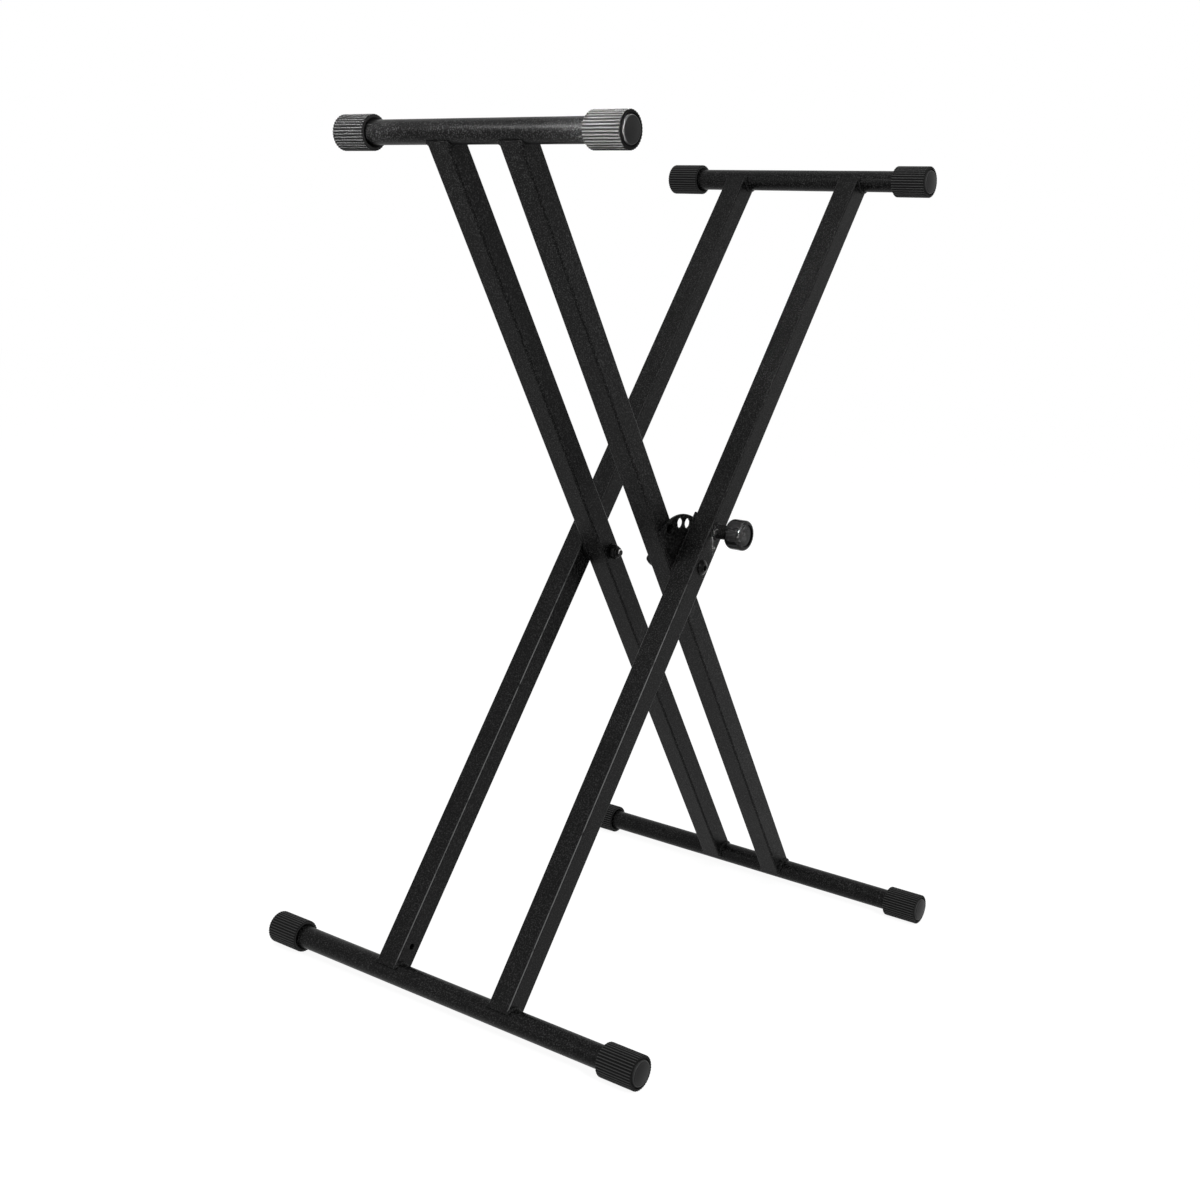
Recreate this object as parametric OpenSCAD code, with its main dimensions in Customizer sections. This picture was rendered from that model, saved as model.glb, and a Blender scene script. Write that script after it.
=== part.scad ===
// Folding keyboard stand: two square-legged steel frames crossed in an X.
// The outer frame stands with its feet at -X, the inner frame with its feet at +X.
// X is the way the feet spread, Y runs along the bars and Z is up.
// The origin is on the floor, midway between the feet. All lengths are millimetres.

/* [Stance] */
// Length of a leg from the axis of its foot bar to the axis of its top bar
leg_span = 985; // [700:5:1200]
// Lock hole that the stand is set up in, counted from the tallest
stored_hole = 2; // [0:1:4]

/* [Square legs] */
// Outside width of the square tube
tube_w = 25; // [22:0.5:28]
// Wall of the square tube
tube_wall = 1.5; // [1:0.1:2.5]
// Outside corner radius of the square tube
tube_corner_r = 2; // [1.6:0.1:4]
// Distance of an outer leg's centre from the middle of the stand
outer_leg_y = 74.5; // [66:0.5:100]
// How far short of the bar's axis a leg's side walls stop
cope_land = 3; // [2:0.5:6]
// Throat of the weld bead round a leg's end
weld_r = 2; // [1:0.25:3]
// Half the angle that the weld bead covers round the bar
weld_half_angle = 68; // [40:1:80]
// Diameter of the drain hole near an outer leg's foot
drain_d = 6.5; // [4:0.5:9]
// Height of the drain hole above the axis of the foot bar
drain_rise = 30; // [24:0.5:60]

/* [Round bars] */
// Outside diameter of the bars
bar_d = 23; // [20:0.5:26]
// Wall of the bars
bar_wall = 1.5; // [1:0.1:2.5]
// Overall width of the stand across the caps of a top bar
top_width = 342; // [300:1:500]
// Overall width of the stand across the caps of a foot bar
foot_width = 482; // [380:1:700]

/* [Rubber end caps] */
// Diameter of a cap over its ribs
cap_d = 33.5; // [32:0.5:44]
// Length of a cap from its mouth to the crown of its end disc
cap_len = 41.5; // [30:0.5:50]
// Thickness of the cap's closed end at the crown
cap_end_t = 6.5; // [5.5:0.5:9]
// Diameter of the raised disc on the cap's end
cap_disc_d = 24.8; // [20:0.2:27]
// Height of the disc's crown above the serrated rim
cap_disc_rise = 2.5; // [1.5:0.25:4]
// Radius of the disc's rounded shoulder
cap_shoulder_r = 1.8; // [0.8:0.1:2.2]
// Rise of the disc's crown over its shoulder
cap_crown = 0.9; // [0.4:0.1:1.2]
// Width of the sunk ring round the disc
cap_ring_w = 1.7; // [1:0.1:2]
// Depth of the sunk ring below the rim
cap_ring_depth = 1.2; // [0.5:0.1:2]
// Number of lengthwise ribs
cap_ribs = 36; // [24:4:40]
// Diameter of the groove between two ribs
cap_groove_d = 1.6; // [0.8:0.1:2]
// Depth of the lead-in inside the cap's mouth
cap_mouth_depth = 3; // [1:0.5:5]
// Width of the lead-in at the cap's mouth
cap_mouth_w = 2.2; // [0.5:0.1:2.6]
// Radius of the cap's rounded edges
cap_edge_r = 1.2; // [0.5:0.1:1.5]

/* [Pivot] */
// Diameter of the pivot bolts
bolt_d = 8; // [6:1:10]
// Length of a pivot bolt under its head
bolt_len = 69; // [67:1:76]
// Diameter of the bolt's domed head
head_d = 16; // [14:0.5:20]
// Height of the bolt's domed head
head_h = 4.4; // [3.5:0.1:6]
// Height of the straight rim below the head's dome
head_rim = 1; // [0.6:0.1:1.4]
// Width across flats of the socket in the bolt's head
socket_af = 5; // [4:0.5:6]
// Depth of the socket in the bolt's head
socket_depth = 2.6; // [1.5:0.1:3]
// Width across flats of the lock nut
nut_af = 13; // [13:0.5:17]
// Height of the lock nut's hexagon
nut_hex_h = 6; // [5:0.5:8]
// Angle of the chamfer on the corners of the hexagon
nut_chamfer = 30; // [20:1:40]
// Diameter of the lock nut's round collar
nut_collar_d = 11.5; // [11:0.5:12.5]
// Height of the lock nut's round collar
nut_collar_h = 2; // [1:0.5:3]
// Diameter of the steel washer under the nut
nut_washer_d = 17; // [15:0.5:20]
// Thickness of the steel washer under the nut
nut_washer_t = 1.6; // [1:0.1:2.4]
// Diameter of the plastic washer and of the spacer between the frames
friction_d = 22; // [18:0.5:22]
// Thickness of the plastic washer between the front legs
friction_t = 1.5; // [1:0.25:3]

/* [Lock plate] */
// Thickness of the lock plate
plate_t = 2.5; // [2:0.5:3]
// Width of the lock plate's rim outside its holes
plate_rim = 3.7; // [2:0.1:8]
// Inset of the lock plate from the edge of its leg
plate_inset = 1; // [0:0.5:2]
// Radius of the lock holes' circle about the pivot
lock_r = 43; // [41:0.5:52]
// Diameter of the lock holes
lock_hole_d = 10.6; // [10.4:0.1:12]
// Angle between the frames at the tallest setting
first_angle = 31; // [28:0.1:34]
// Angle from one lock hole to the next
lock_step_angle = 18.3; // [17:0.1:19]
// Number of lock holes, from the tallest setting to the lowest
lock_count = 5; // [5:1:6]
// Angle between the frames when the stand is folded flat
folded_angle = 5.5; // [5:0.1:8]
// Angle that the lock plate runs on past its last hole
plate_past_angle = 16; // [12:1:24]
// Thickness of the guide plate on the outer leg's inner face
guide_t = 2.5; // [2:0.5:4]
// Length of the guide plate above the pin's axis
guide_above = 13; // [9:1:25]
// Length of the guide plate below the pivot
guide_below = 20; // [14:1:30]

/* [Lock pin] */
// Diameter of the lock pin
pin_d = 10; // [8:0.2:10]
// Bevel round the pin's tip
pin_bevel = 1; // [0.4:0.1:1.5]
// Travel of the pin from drawn back to fully home
pin_travel = 6; // [5.5:0.1:6.5]
// Depth of the drawn pin's tip below the face of the guide plate
pin_tip_sunk = 0.5; // [0.3:0.1:0.8]
// Diameter of the rod that joins the pin to the knob
rod_d = 6; // [5:0.5:6.5]
// Distance of the drawn pin's shoulder from the leg's outer face
shoulder_out = 7; // [6.5:0.25:7.5]
// Outside diameter of the plunger sleeve
sleeve_d = 15; // [14:0.5:18]
// Length of the plunger sleeve from the leg's outer face
sleeve_len = 17.5; // [17:0.5:22]
// Thickness of the sleeve's end wall
sleeve_end_t = 2.5; // [2:0.5:3]
// Size of the weld fillet at the foot of the sleeve
sleeve_weld = 1.8; // [1:0.1:3]
// Diameter of the spring's wire
wire_d = 0.8; // [0.6:0.1:1]
// Number of turns in the spring
spring_turns = 5; // [4:0.5:5.5]

/* [Knob] */
// Diameter of the knob
knob_d = 31.6; // [30:0.2:38]
// Length of the knob
knob_len = 19.5; // [18:0.5:24]
// Length of sleeve that the drawn knob covers
knob_overlap = 1; // [0.5:0.25:1.5]
// Radius of the knob's back edge
knob_back_r = 5; // [2:0.5:6]
// Radius of the knob's front edge
knob_front_r = 3.2; // [1:0.2:4]
// Thickness of the web that the rod passes through
knob_web = 2.4; // [2:0.2:3]
// Width across flats of the nut that holds the knob
knob_nut_af = 10; // [9:0.5:11]
// Height of the nut that holds the knob
knob_nut_h = 4; // [3:0.5:4.5]
// Room for a spanner round the nut that holds the knob
spanner_room = 0.8; // [0.4:0.1:1.2]
// Diameter of the cover disc in the knob's front
cover_d = 23; // [20:0.5:23.5]
// Depth of the cover disc's edge below the knob's front
cover_sunk = 1.2; // [0.6:0.1:1.6]
// Thickness of the cover disc at its edge
cover_t = 1.6; // [1.2:0.2:2]
// Rise of the cover disc's crown over its edge
cover_crown = 0.9; // [0.4:0.1:1.4]

/* [Clearances] */
// Radial clearance of a frame or washer on its pivot bolt
pivot_fit = 0.08; // [0.03:0.01:0.1]
// Radial clearance of the sliding pin in its guides
slide_fit = 0.1; // [0.05:0.01:0.1]
// Radial clearance of parts that are pushed together and stay
seat_fit = 0.05; // [0.02:0.01:0.08]
// Radial clearance of the knob's skirt round the sleeve
skirt_fit = 0.6; // [0.4:0.1:1]
// Gap left at the ends of the spring and under the home knob
end_gap = 0.3; // [0.2:0.05:0.4]

/* [Hidden] */
$fn = 64;

FRONT = -1;
REAR = 1;
cut = 1;

satin_black = [0.13, 0.13, 0.135];
rubber_black = [0.09, 0.09, 0.09];
plastic_black = [0.11, 0.11, 0.115];
zinc = [0.75, 0.76, 0.78];

open_angle = first_angle + stored_hole * lock_step_angle;
last_angle = first_angle + (lock_count - 1) * lock_step_angle;
tilt = open_angle / 2;
half_span = leg_span / 2;
pivot_z = cap_d / 2 + half_span * cos(tilt);

leg_gap = guide_t + friction_t + plate_t;
inner_leg_y = outer_leg_y - tube_w - leg_gap;
outer_face = outer_leg_y + tube_w / 2;
inner_face = inner_leg_y - tube_w / 2;
gap_outer = outer_leg_y - tube_w / 2;
gap_inner = inner_leg_y + tube_w / 2;
plate_r = lock_r + lock_hole_d / 2 + plate_rim;

pin_tip_out = -tube_w - guide_t + pin_tip_sunk;
spring_end = sleeve_len - sleeve_end_t;
spring_r = (pin_d + rod_d) / 4 + slide_fit / 2;
knob_back = sleeve_len - knob_overlap;
skirt_depth = knob_overlap + pin_travel + end_gap;
pocket_floor = skirt_depth + knob_web;
cover_floor = knob_len - cover_sunk - cover_t;
rod_end = knob_back + pocket_floor + knob_nut_h;

// Placing

// The outer frame's own axes: origin on the pivot, z up along its legs
module in_outer_frame() {
    translate([0, 0, pivot_z]) rotate([0, tilt, 0]) children();
}

// The inner frame's own axes: origin on the pivot, z up along its legs
module in_inner_frame() {
    translate([0, 0, pivot_z]) rotate([0, -tilt, 0]) children();
}

// Turns local z to point along the bars, to the front or to the rear
module facing(side) {
    rotate([side * -90, 0, 0]) children();
}

// The lock pin's own axes: z runs outward from the front leg's outer face
module on_plunger_axis() {
    in_outer_frame() translate([0, FRONT * outer_face, lock_r]) facing(FRONT) children();
}

// The pivot's own axes at the front and at the rear: z runs outward from the distance given
module at_each_pivot(distance) {
    for (side = [FRONT, REAR]) {
        in_outer_frame() translate([0, side * distance, 0]) facing(side) children();
    }
}

// Shared shapes

module rounded_square(w, r) {
    square([w - 2 * r, w], center = true);
    square([w, w - 2 * r], center = true);
    for (sx = [-1, 1], sy = [-1, 1]) {
        translate([sx * (w / 2 - r), sy * (w / 2 - r)]) circle(r);
    }
}

// Cylinder along Y through the point [0, y, z]
module cross_cylinder(d, length, y = 0, z = 0) {
    translate([0, y, z]) rotate([90, 0, 0]) cylinder(d = d, h = length, center = true);
}

module ring(d, hole_d, h) {
    difference() {
        cylinder(d = d, h = h);
        translate([0, 0, -cut]) cylinder(d = hole_d, h = h + 2 * cut);
    }
}

module hexagon(af, h) {
    cylinder(d = af / cos(30), h = h, $fn = 6);
}

// Points of an arc, for outlines that are revolved
function arc(cx, cy, r, from, to, steps = 6) =
    [for (i = [0:steps]) let(a = from + (to - from) * i / steps) [cx + r * cos(a), cy + r * sin(a)]];

// Points of a crown that rises by h from the edge [r, z] in to the axis, without the edge itself
function crown(r, z, h, steps = 5) =
    [for (i = [1:steps]) let(f = 1 - i / steps) [r * f, z + h * (1 - f * f)]];

// Corners of a pie slice that reaches past the radius r; angles run from up to the right
function slice(r, from, to, steps = 4) =
    concat([[0, 0]], [for (i = [0:steps]) let(a = from + (to - from) * i / steps) 2 * r * [sin(a), cos(a)]]);

// Legs

// Weld beads on both faces of a leg, round the bar at height z.
// up is 1 where the leg rises from the bar and -1 where it hangs below.
module weld_beads(y, z, up) {
    for (side = [-1, 1]) {
        translate([0, y + side * tube_w / 2, z])
            rotate([90, weld_half_angle - up * 90, 0])
                rotate_extrude(angle = 2 * weld_half_angle) translate([bar_d / 2, 0]) circle(weld_r);
    }
}

// Square tube at the distance y, coped over both bars of its frame, bored for the pivot
module leg(y) {
    difference() {
        union() {
            translate([0, y, 0]) {
                linear_extrude(leg_span - 2 * cope_land, center = true)
                    rounded_square(tube_w, tube_corner_r);
            }
            weld_beads(y, half_span, -1);
            weld_beads(y, -half_span, 1);
        }
        translate([0, y, 0]) {
            linear_extrude(leg_span, center = true)
                rounded_square(tube_w - 2 * tube_wall, max(tube_corner_r - tube_wall, tube_wall / 4));
        }
        for (z = [-half_span, half_span]) cross_cylinder(bar_d, 2 * tube_w, y, z);
        cross_cylinder(bolt_d + 2 * pivot_fit, tube_w + 2 * cut, y);
    }
}

// Drain hole through the wall of an outer leg that faces the middle of the stand
module drain(side) {
    cross_cylinder(drain_d, 2 * tube_wall + cut, side * gap_outer, -half_span + drain_rise);
}

module outer_leg_front() {
    color(satin_black) in_outer_frame() difference() {
        leg(FRONT * outer_leg_y);
        drain(FRONT);
        cross_cylinder(pin_d + 2 * slide_fit, tube_w + 2 * cut, FRONT * outer_leg_y, lock_r);
    }
}

module outer_leg_rear() {
    color(satin_black) in_outer_frame() difference() {
        leg(REAR * outer_leg_y);
        drain(REAR);
    }
}

module inner_leg_front() {
    color(satin_black) in_inner_frame() difference() {
        leg(FRONT * inner_leg_y);
        translate([lock_r * sin(folded_angle), FRONT * gap_inner, lock_r * cos(folded_angle)])
            cross_cylinder(lock_hole_d, 2 * tube_wall + cut);
    }
}

module inner_leg_rear() {
    color(satin_black) in_inner_frame() leg(REAR * inner_leg_y);
}

// Bars

// Round tube at the height z, its ends stopped by the closed ends of its caps
module bar(width, z) {
    length = width - 2 * cap_end_t;
    translate([0, -length / 2, z]) facing(REAR) ring(bar_d, bar_d - 2 * bar_wall, length);
}

module outer_top_bar() {
    color(satin_black) in_outer_frame() bar(top_width, half_span);
}

module outer_foot_bar() {
    color(satin_black) in_outer_frame() bar(foot_width, -half_span);
}

module inner_top_bar() {
    color(satin_black) in_inner_frame() bar(top_width, half_span);
}

module inner_foot_bar() {
    color(satin_black) in_inner_frame() bar(foot_width, -half_span);
}

// End caps

// Half section of a cap: mouth at z = 0, crown of the end disc at z = cap_len
function cap_section() =
    let(
        bore_r = bar_d / 2 + seat_fit,
        outer_r = cap_d / 2,
        disc_r = cap_disc_d / 2,
        rim_z = cap_len - cap_disc_rise,
        ring_z = rim_z - cap_ring_depth,
        shoulder_z = cap_len - cap_crown,
        shoulder_r = min(cap_shoulder_r, shoulder_z - ring_z)
    )
    concat(
        [[0, cap_len - cap_end_t], [bore_r, cap_len - cap_end_t]],
        [[bore_r, cap_mouth_depth], [bore_r + cap_mouth_w, 0]],
        arc(outer_r - cap_edge_r, cap_edge_r, cap_edge_r, -90, 0),
        arc(outer_r - cap_edge_r, rim_z - cap_edge_r, cap_edge_r, 0, 90),
        [[disc_r + cap_ring_w, rim_z], [disc_r + cap_ring_w, ring_z], [disc_r, ring_z]],
        arc(disc_r - shoulder_r, shoulder_z - shoulder_r, shoulder_r, 0, 90),
        crown(disc_r - shoulder_r, shoulder_z, cap_crown)
    );

module cap() {
    difference() {
        rotate_extrude() polygon(cap_section());
        for (i = [0:cap_ribs - 1]) {
            rotate((i + 0.5) * 360 / cap_ribs) translate([cap_d / 2, 0, -cut])
                cylinder(d = cap_groove_d, h = cap_len + 2 * cut, $fn = 16);
        }
    }
}

// A cap on a bar's end, turned so that a rib stands on the floor; own_tilt is its frame's lean
module placed_cap(side, width, z, own_tilt) {
    translate([0, side * (width / 2 - cap_len), z])
        rotate([0, -own_tilt, 0]) facing(side) color(rubber_black) cap();
}

module outer_top_cap_front() {
    in_outer_frame() placed_cap(FRONT, top_width, half_span, tilt);
}

module outer_top_cap_rear() {
    in_outer_frame() placed_cap(REAR, top_width, half_span, tilt);
}

module outer_foot_cap_front() {
    in_outer_frame() placed_cap(FRONT, foot_width, -half_span, tilt);
}

module outer_foot_cap_rear() {
    in_outer_frame() placed_cap(REAR, foot_width, -half_span, tilt);
}

module inner_top_cap_front() {
    in_inner_frame() placed_cap(FRONT, top_width, half_span, -tilt);
}

module inner_top_cap_rear() {
    in_inner_frame() placed_cap(REAR, top_width, half_span, -tilt);
}

module inner_foot_cap_front() {
    in_inner_frame() placed_cap(FRONT, foot_width, -half_span, -tilt);
}

module inner_foot_cap_rear() {
    in_inner_frame() placed_cap(REAR, foot_width, -half_span, -tilt);
}

// Lock plate and guide plate

// Where the pin meets the lock plate when the frames stand at the angle a
module at_lock(a) {
    translate([lock_r * sin(a), lock_r * cos(a)]) children();
}

// Plate outline seen from the front, in the inner frame's x and z
module plate_outline() {
    edge = tube_w / 2 - plate_inset;
    intersection() {
        circle(plate_r);
        union() {
            translate([-edge, 0]) square([plate_r + edge, plate_r]);
            polygon(slice(plate_r, 0, last_angle + plate_past_angle));
            circle(edge);
        }
    }
}

module lock_plate() {
    color(satin_black) in_inner_frame() translate([0, FRONT * gap_inner, 0]) {
        facing(FRONT) linear_extrude(plate_t) difference() {
            plate_outline();
            circle(d = bolt_d + 2 * pivot_fit);
            for (i = [0:lock_count - 1]) {
                at_lock(first_angle + i * lock_step_angle) circle(d = lock_hole_d);
            }
            at_lock(folded_angle) circle(d = lock_hole_d);
        }
    }
}

module guide_plate() {
    color(satin_black) in_outer_frame() difference() {
        translate([-tube_w / 2, FRONT * gap_outer, -guide_below])
            cube([tube_w, guide_t, guide_below + lock_r + guide_above]);
        cross_cylinder(bolt_d + 2 * pivot_fit, 2 * gap_outer);
        cross_cylinder(pin_d + 2 * slide_fit, 2 * gap_outer, 0, lock_r);
    }
}

// Plunger: sleeve, pin, spring and knob, with the pin drawn back

module plunger_sleeve() {
    color(satin_black) on_plunger_axis() difference() {
        union() {
            cylinder(d = sleeve_d, h = sleeve_len);
            cylinder(r1 = sleeve_d / 2 + sleeve_weld, r2 = sleeve_d / 2, h = sleeve_weld);
        }
        translate([0, 0, -cut]) cylinder(d = pin_d + 2 * slide_fit, h = spring_end + cut);
        cylinder(d = rod_d + 2 * slide_fit, h = sleeve_len + cut);
    }
}

module lock_pin() {
    color(zinc) on_plunger_axis() rotate_extrude() polygon([
        [0, pin_tip_out], [pin_d / 2 - pin_bevel, pin_tip_out], [pin_d / 2, pin_tip_out + pin_bevel],
        [pin_d / 2, shoulder_out], [rod_d / 2, shoulder_out], [rod_d / 2, rod_end], [0, rod_end]
    ]);
}

// Coil of round wire, squeezed between the pin's shoulder and the sleeve's end wall.
// Ring i of the sweep stands at the angle 360 i / per_turn and climbs evenly.
module lock_spring() {
    sides = 6;
    per_turn = 12;
    rings = spring_turns * per_turn;
    z0 = shoulder_out + end_gap + wire_d / 2;
    z1 = spring_end - end_gap - wire_d / 2;
    centres = [
        for (i = [0:rings])
            let(turn = 360 * i / per_turn)
                [spring_r * cos(turn), spring_r * sin(turn), z0 + (z1 - z0) * i / rings]
    ];
    points = [
        for (i = [0:rings], j = [0:sides - 1])
            let(turn = 360 * i / per_turn, side = 360 * j / sides)
                centres[i] + wire_d / 2 * [cos(side) * cos(turn), cos(side) * sin(turn), sin(side)]
    ];
    walls = [
        for (i = [0:rings - 1], j = [0:sides - 1])
            let(a = i * sides + j, b = i * sides + (j + 1) % sides)
                each [[a, b, a + sides], [b, b + sides, a + sides]]
    ];
    first_end = [[for (j = [sides - 1:-1:0]) j]];
    last_end = [[for (j = [0:sides - 1]) rings * sides + j]];
    least_gap = min([for (i = [per_turn:rings]) norm(centres[i] - centres[i - per_turn])]) - wire_d;
    echo(least_gap_between_turns = least_gap);
    color(zinc) on_plunger_axis() polyhedron(points, concat(walls, first_end, last_end));
}

// Half section of the knob: back face at z = 0, front face at z = knob_len
function knob_section() =
    let(
        r = knob_d / 2,
        skirt_r = sleeve_d / 2 + skirt_fit,
        hub_r = rod_d / 2 + seat_fit,
        pocket_r = knob_nut_af / 2 / cos(30) + spanner_room,
        cover_r = cover_d / 2 + seat_fit
    )
    concat(
        [[skirt_r, 0]],
        arc(r - knob_back_r, knob_back_r, knob_back_r, -90, 0),
        arc(r - knob_front_r, knob_len - knob_front_r, knob_front_r, 0, 90),
        [[cover_r, knob_len], [cover_r, cover_floor], [pocket_r, cover_floor], [pocket_r, pocket_floor]],
        [[hub_r, pocket_floor], [hub_r, skirt_depth], [skirt_r, skirt_depth]]
    );

module lock_knob() {
    color(plastic_black) on_plunger_axis() translate([0, 0, knob_back])
        rotate_extrude() polygon(knob_section());
}

module knob_nut() {
    color(zinc) on_plunger_axis() translate([0, 0, knob_back + pocket_floor]) difference() {
        hexagon(knob_nut_af, knob_nut_h);
        translate([0, 0, -cut]) cylinder(d = rod_d + 2 * seat_fit, h = knob_nut_h + 2 * cut);
    }
}

module knob_cover() {
    r = cover_d / 2;
    color(plastic_black) on_plunger_axis() translate([0, 0, knob_back + cover_floor])
        rotate_extrude() polygon(concat([[0, 0], [r, 0], [r, cover_t]], crown(r, cover_t, cover_crown)));
}

// Pivot hardware, one set at the front legs and one at the rear legs

module pivot_bolt() {
    r = head_d / 2;
    difference() {
        union() {
            translate([0, 0, -bolt_len]) cylinder(d = bolt_d, h = bolt_len);
            rotate_extrude()
                polygon(concat([[0, 0], [r, 0], [r, head_rim]], crown(r, head_rim, head_h - head_rim)));
        }
        translate([0, 0, head_h - socket_depth]) hexagon(socket_af, head_h);
    }
}

module pivot_bolts() {
    color(satin_black) at_each_pivot(outer_face) pivot_bolt();
}

// Lock nut with its seat at z = 0 and its collar at the top
module lock_nut() {
    nut_h = nut_hex_h + nut_collar_h;
    bevel_r = nut_af / 2 + nut_hex_h / 2 / tan(nut_chamfer);
    difference() {
        union() {
            intersection() {
                hexagon(nut_af, nut_hex_h);
                rotate_extrude() polygon([
                    [0, 0], [nut_af / 2, 0], [bevel_r, nut_hex_h / 2], [nut_af / 2, nut_hex_h], [0, nut_hex_h]
                ]);
            }
            cylinder(d = nut_collar_d, h = nut_h);
        }
        translate([0, 0, -cut]) cylinder(d = bolt_d + 2 * seat_fit, h = nut_h + 2 * cut);
    }
}

module pivot_nuts() {
    color(satin_black) at_each_pivot(inner_face - nut_washer_t) mirror([0, 0, 1]) lock_nut();
}

module nut_washers() {
    color(satin_black) at_each_pivot(inner_face - nut_washer_t)
        ring(nut_washer_d, bolt_d + 2 * pivot_fit, nut_washer_t);
}

module friction_washer() {
    color(plastic_black) in_outer_frame() translate([0, FRONT * (gap_inner + plate_t), 0])
        facing(FRONT) ring(friction_d, bolt_d + 2 * pivot_fit, friction_t);
}

module rear_spacer() {
    color(plastic_black) in_outer_frame() translate([0, REAR * gap_inner, 0])
        facing(REAR) ring(friction_d, bolt_d + 2 * pivot_fit, leg_gap);
}

outer_leg_front();
outer_leg_rear();
outer_top_bar();
outer_foot_bar();
inner_leg_front();
inner_leg_rear();
inner_top_bar();
inner_foot_bar();
outer_top_cap_front();
outer_top_cap_rear();
outer_foot_cap_front();
outer_foot_cap_rear();
inner_top_cap_front();
inner_top_cap_rear();
inner_foot_cap_front();
inner_foot_cap_rear();
lock_plate();
guide_plate();
plunger_sleeve();
lock_pin();
lock_spring();
lock_knob();
knob_nut();
knob_cover();
pivot_bolts();
pivot_nuts();
nut_washers();
friction_washer();
rear_spacer();
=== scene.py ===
"""Looks of a folding keyboard stand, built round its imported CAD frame.

Sizes held by the classes are millimetres, as in the part's source, and meshes are made in metres.
Only the places of the camera and the lamps are held in metres.
Each sub-assembly works out its surfaces as whole arrays and hands them to the body it rides on.
"""

import logging
import math
from collections.abc import Callable, Mapping, Sequence
from dataclasses import dataclass
from enum import Enum
from typing import Any

import bmesh
import bpy
import numpy as np
from mathutils import Matrix, Vector
from mathutils.geometry import delaunay_2d_cdt
from numpy.typing import NDArray


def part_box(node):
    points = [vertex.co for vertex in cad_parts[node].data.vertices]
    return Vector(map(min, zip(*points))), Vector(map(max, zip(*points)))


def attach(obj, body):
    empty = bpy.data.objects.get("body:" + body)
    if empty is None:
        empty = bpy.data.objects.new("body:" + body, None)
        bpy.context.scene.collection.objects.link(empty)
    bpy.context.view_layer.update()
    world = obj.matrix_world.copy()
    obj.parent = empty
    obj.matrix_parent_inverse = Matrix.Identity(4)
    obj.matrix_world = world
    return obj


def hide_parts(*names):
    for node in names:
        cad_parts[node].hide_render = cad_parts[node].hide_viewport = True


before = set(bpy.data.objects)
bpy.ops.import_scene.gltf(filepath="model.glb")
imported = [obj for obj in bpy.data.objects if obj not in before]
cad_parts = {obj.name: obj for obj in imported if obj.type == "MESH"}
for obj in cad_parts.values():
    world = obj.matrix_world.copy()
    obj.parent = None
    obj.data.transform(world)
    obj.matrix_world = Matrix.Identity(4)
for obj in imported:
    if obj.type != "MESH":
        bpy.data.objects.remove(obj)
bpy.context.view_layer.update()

Points = NDArray[np.float64]

LOG = logging.getLogger("stand")
MM = 0.001
TAU = 2.0 * math.pi

# Limits: doubles in metres, boxes and points in millimetres, angles in radians
WELD_DISTANCE = 1.0e-6
BOX_TOLERANCE = 0.4
SAME_POINT = 1.0e-5
NO_LENGTH = 1.0e-12
NO_ANGLE = 1.0e-6
CREASE = math.radians(38.0)

# Flats beside rounded corners, and crowns, whose points start inside the rounded edge
LEAD_SHARE = 0.3
LEAD_REACH = 2.0
CROWN_START = 0.93

# Hexagons: half the angle of a side, and what a nut's surface is made of
HALF_SIDE = math.pi / 6.0
CORNER_GAP = 0.012
NUT_COLUMNS = 96
BEVEL_ROWS = 7
COLLAR_LIP = 0.6


class Side(Enum):
    """Which end of the pivot line a piece belongs to; the value is its direction along Y."""

    FRONT = -1
    REAR = 1

    def seat(self, points: Points, out: float, up: float = 0.0) -> Points:
        """Lays turned work against a leg: (x, y, z) goes to (x, side (out + z), up - side y).

        Args:
            points: Points whose z runs along the axis of the work.
            out: Distance of the work's z = 0 from the middle of the stand.
            up: Height of the axis above the pivot, along the legs.

        Returns:
            The points in the axes of a crossed frame.
        """
        way = float(self.value)
        x, y, z = np.moveaxis(points, -1, 0)
        return np.stack([x, way * (out + z), up - way * y], axis=-1)


@dataclass(frozen=True)
class Layout:
    """Driving sizes that sub-assemblies share; faces and middles are distances along the pivot line."""

    tube: float = 25.0
    inner_y: float = 43.0
    gap: float = 6.5
    plate_t: float = 2.5
    bar_d: float = 23.0
    top_width: float = 342.0
    foot_width: float = 482.0
    cap_end_t: float = 6.5
    lock_r: float = 43.0
    bore_r: float = 4.08

    @property
    def inner_face(self) -> float:
        """Face of the inner legs towards the middle of the stand."""
        return self.inner_y - self.tube / 2.0

    @property
    def gap_face(self) -> float:
        """Face of the inner legs towards the outer ones, where the gap between them starts."""
        return self.inner_y + self.tube / 2.0

    @property
    def outer_y(self) -> float:
        """Middle of the outer legs."""
        return self.gap_face + self.gap + self.tube / 2.0

    @property
    def outer_face(self) -> float:
        """Outside face of the outer legs."""
        return self.outer_y + self.tube / 2.0

    @property
    def guide_face(self) -> float:
        """Inner face of the guide plate, which lies against the outer leg within the gap."""
        return self.gap_face + self.gap - self.plate_t


SIZES = Layout()


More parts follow.
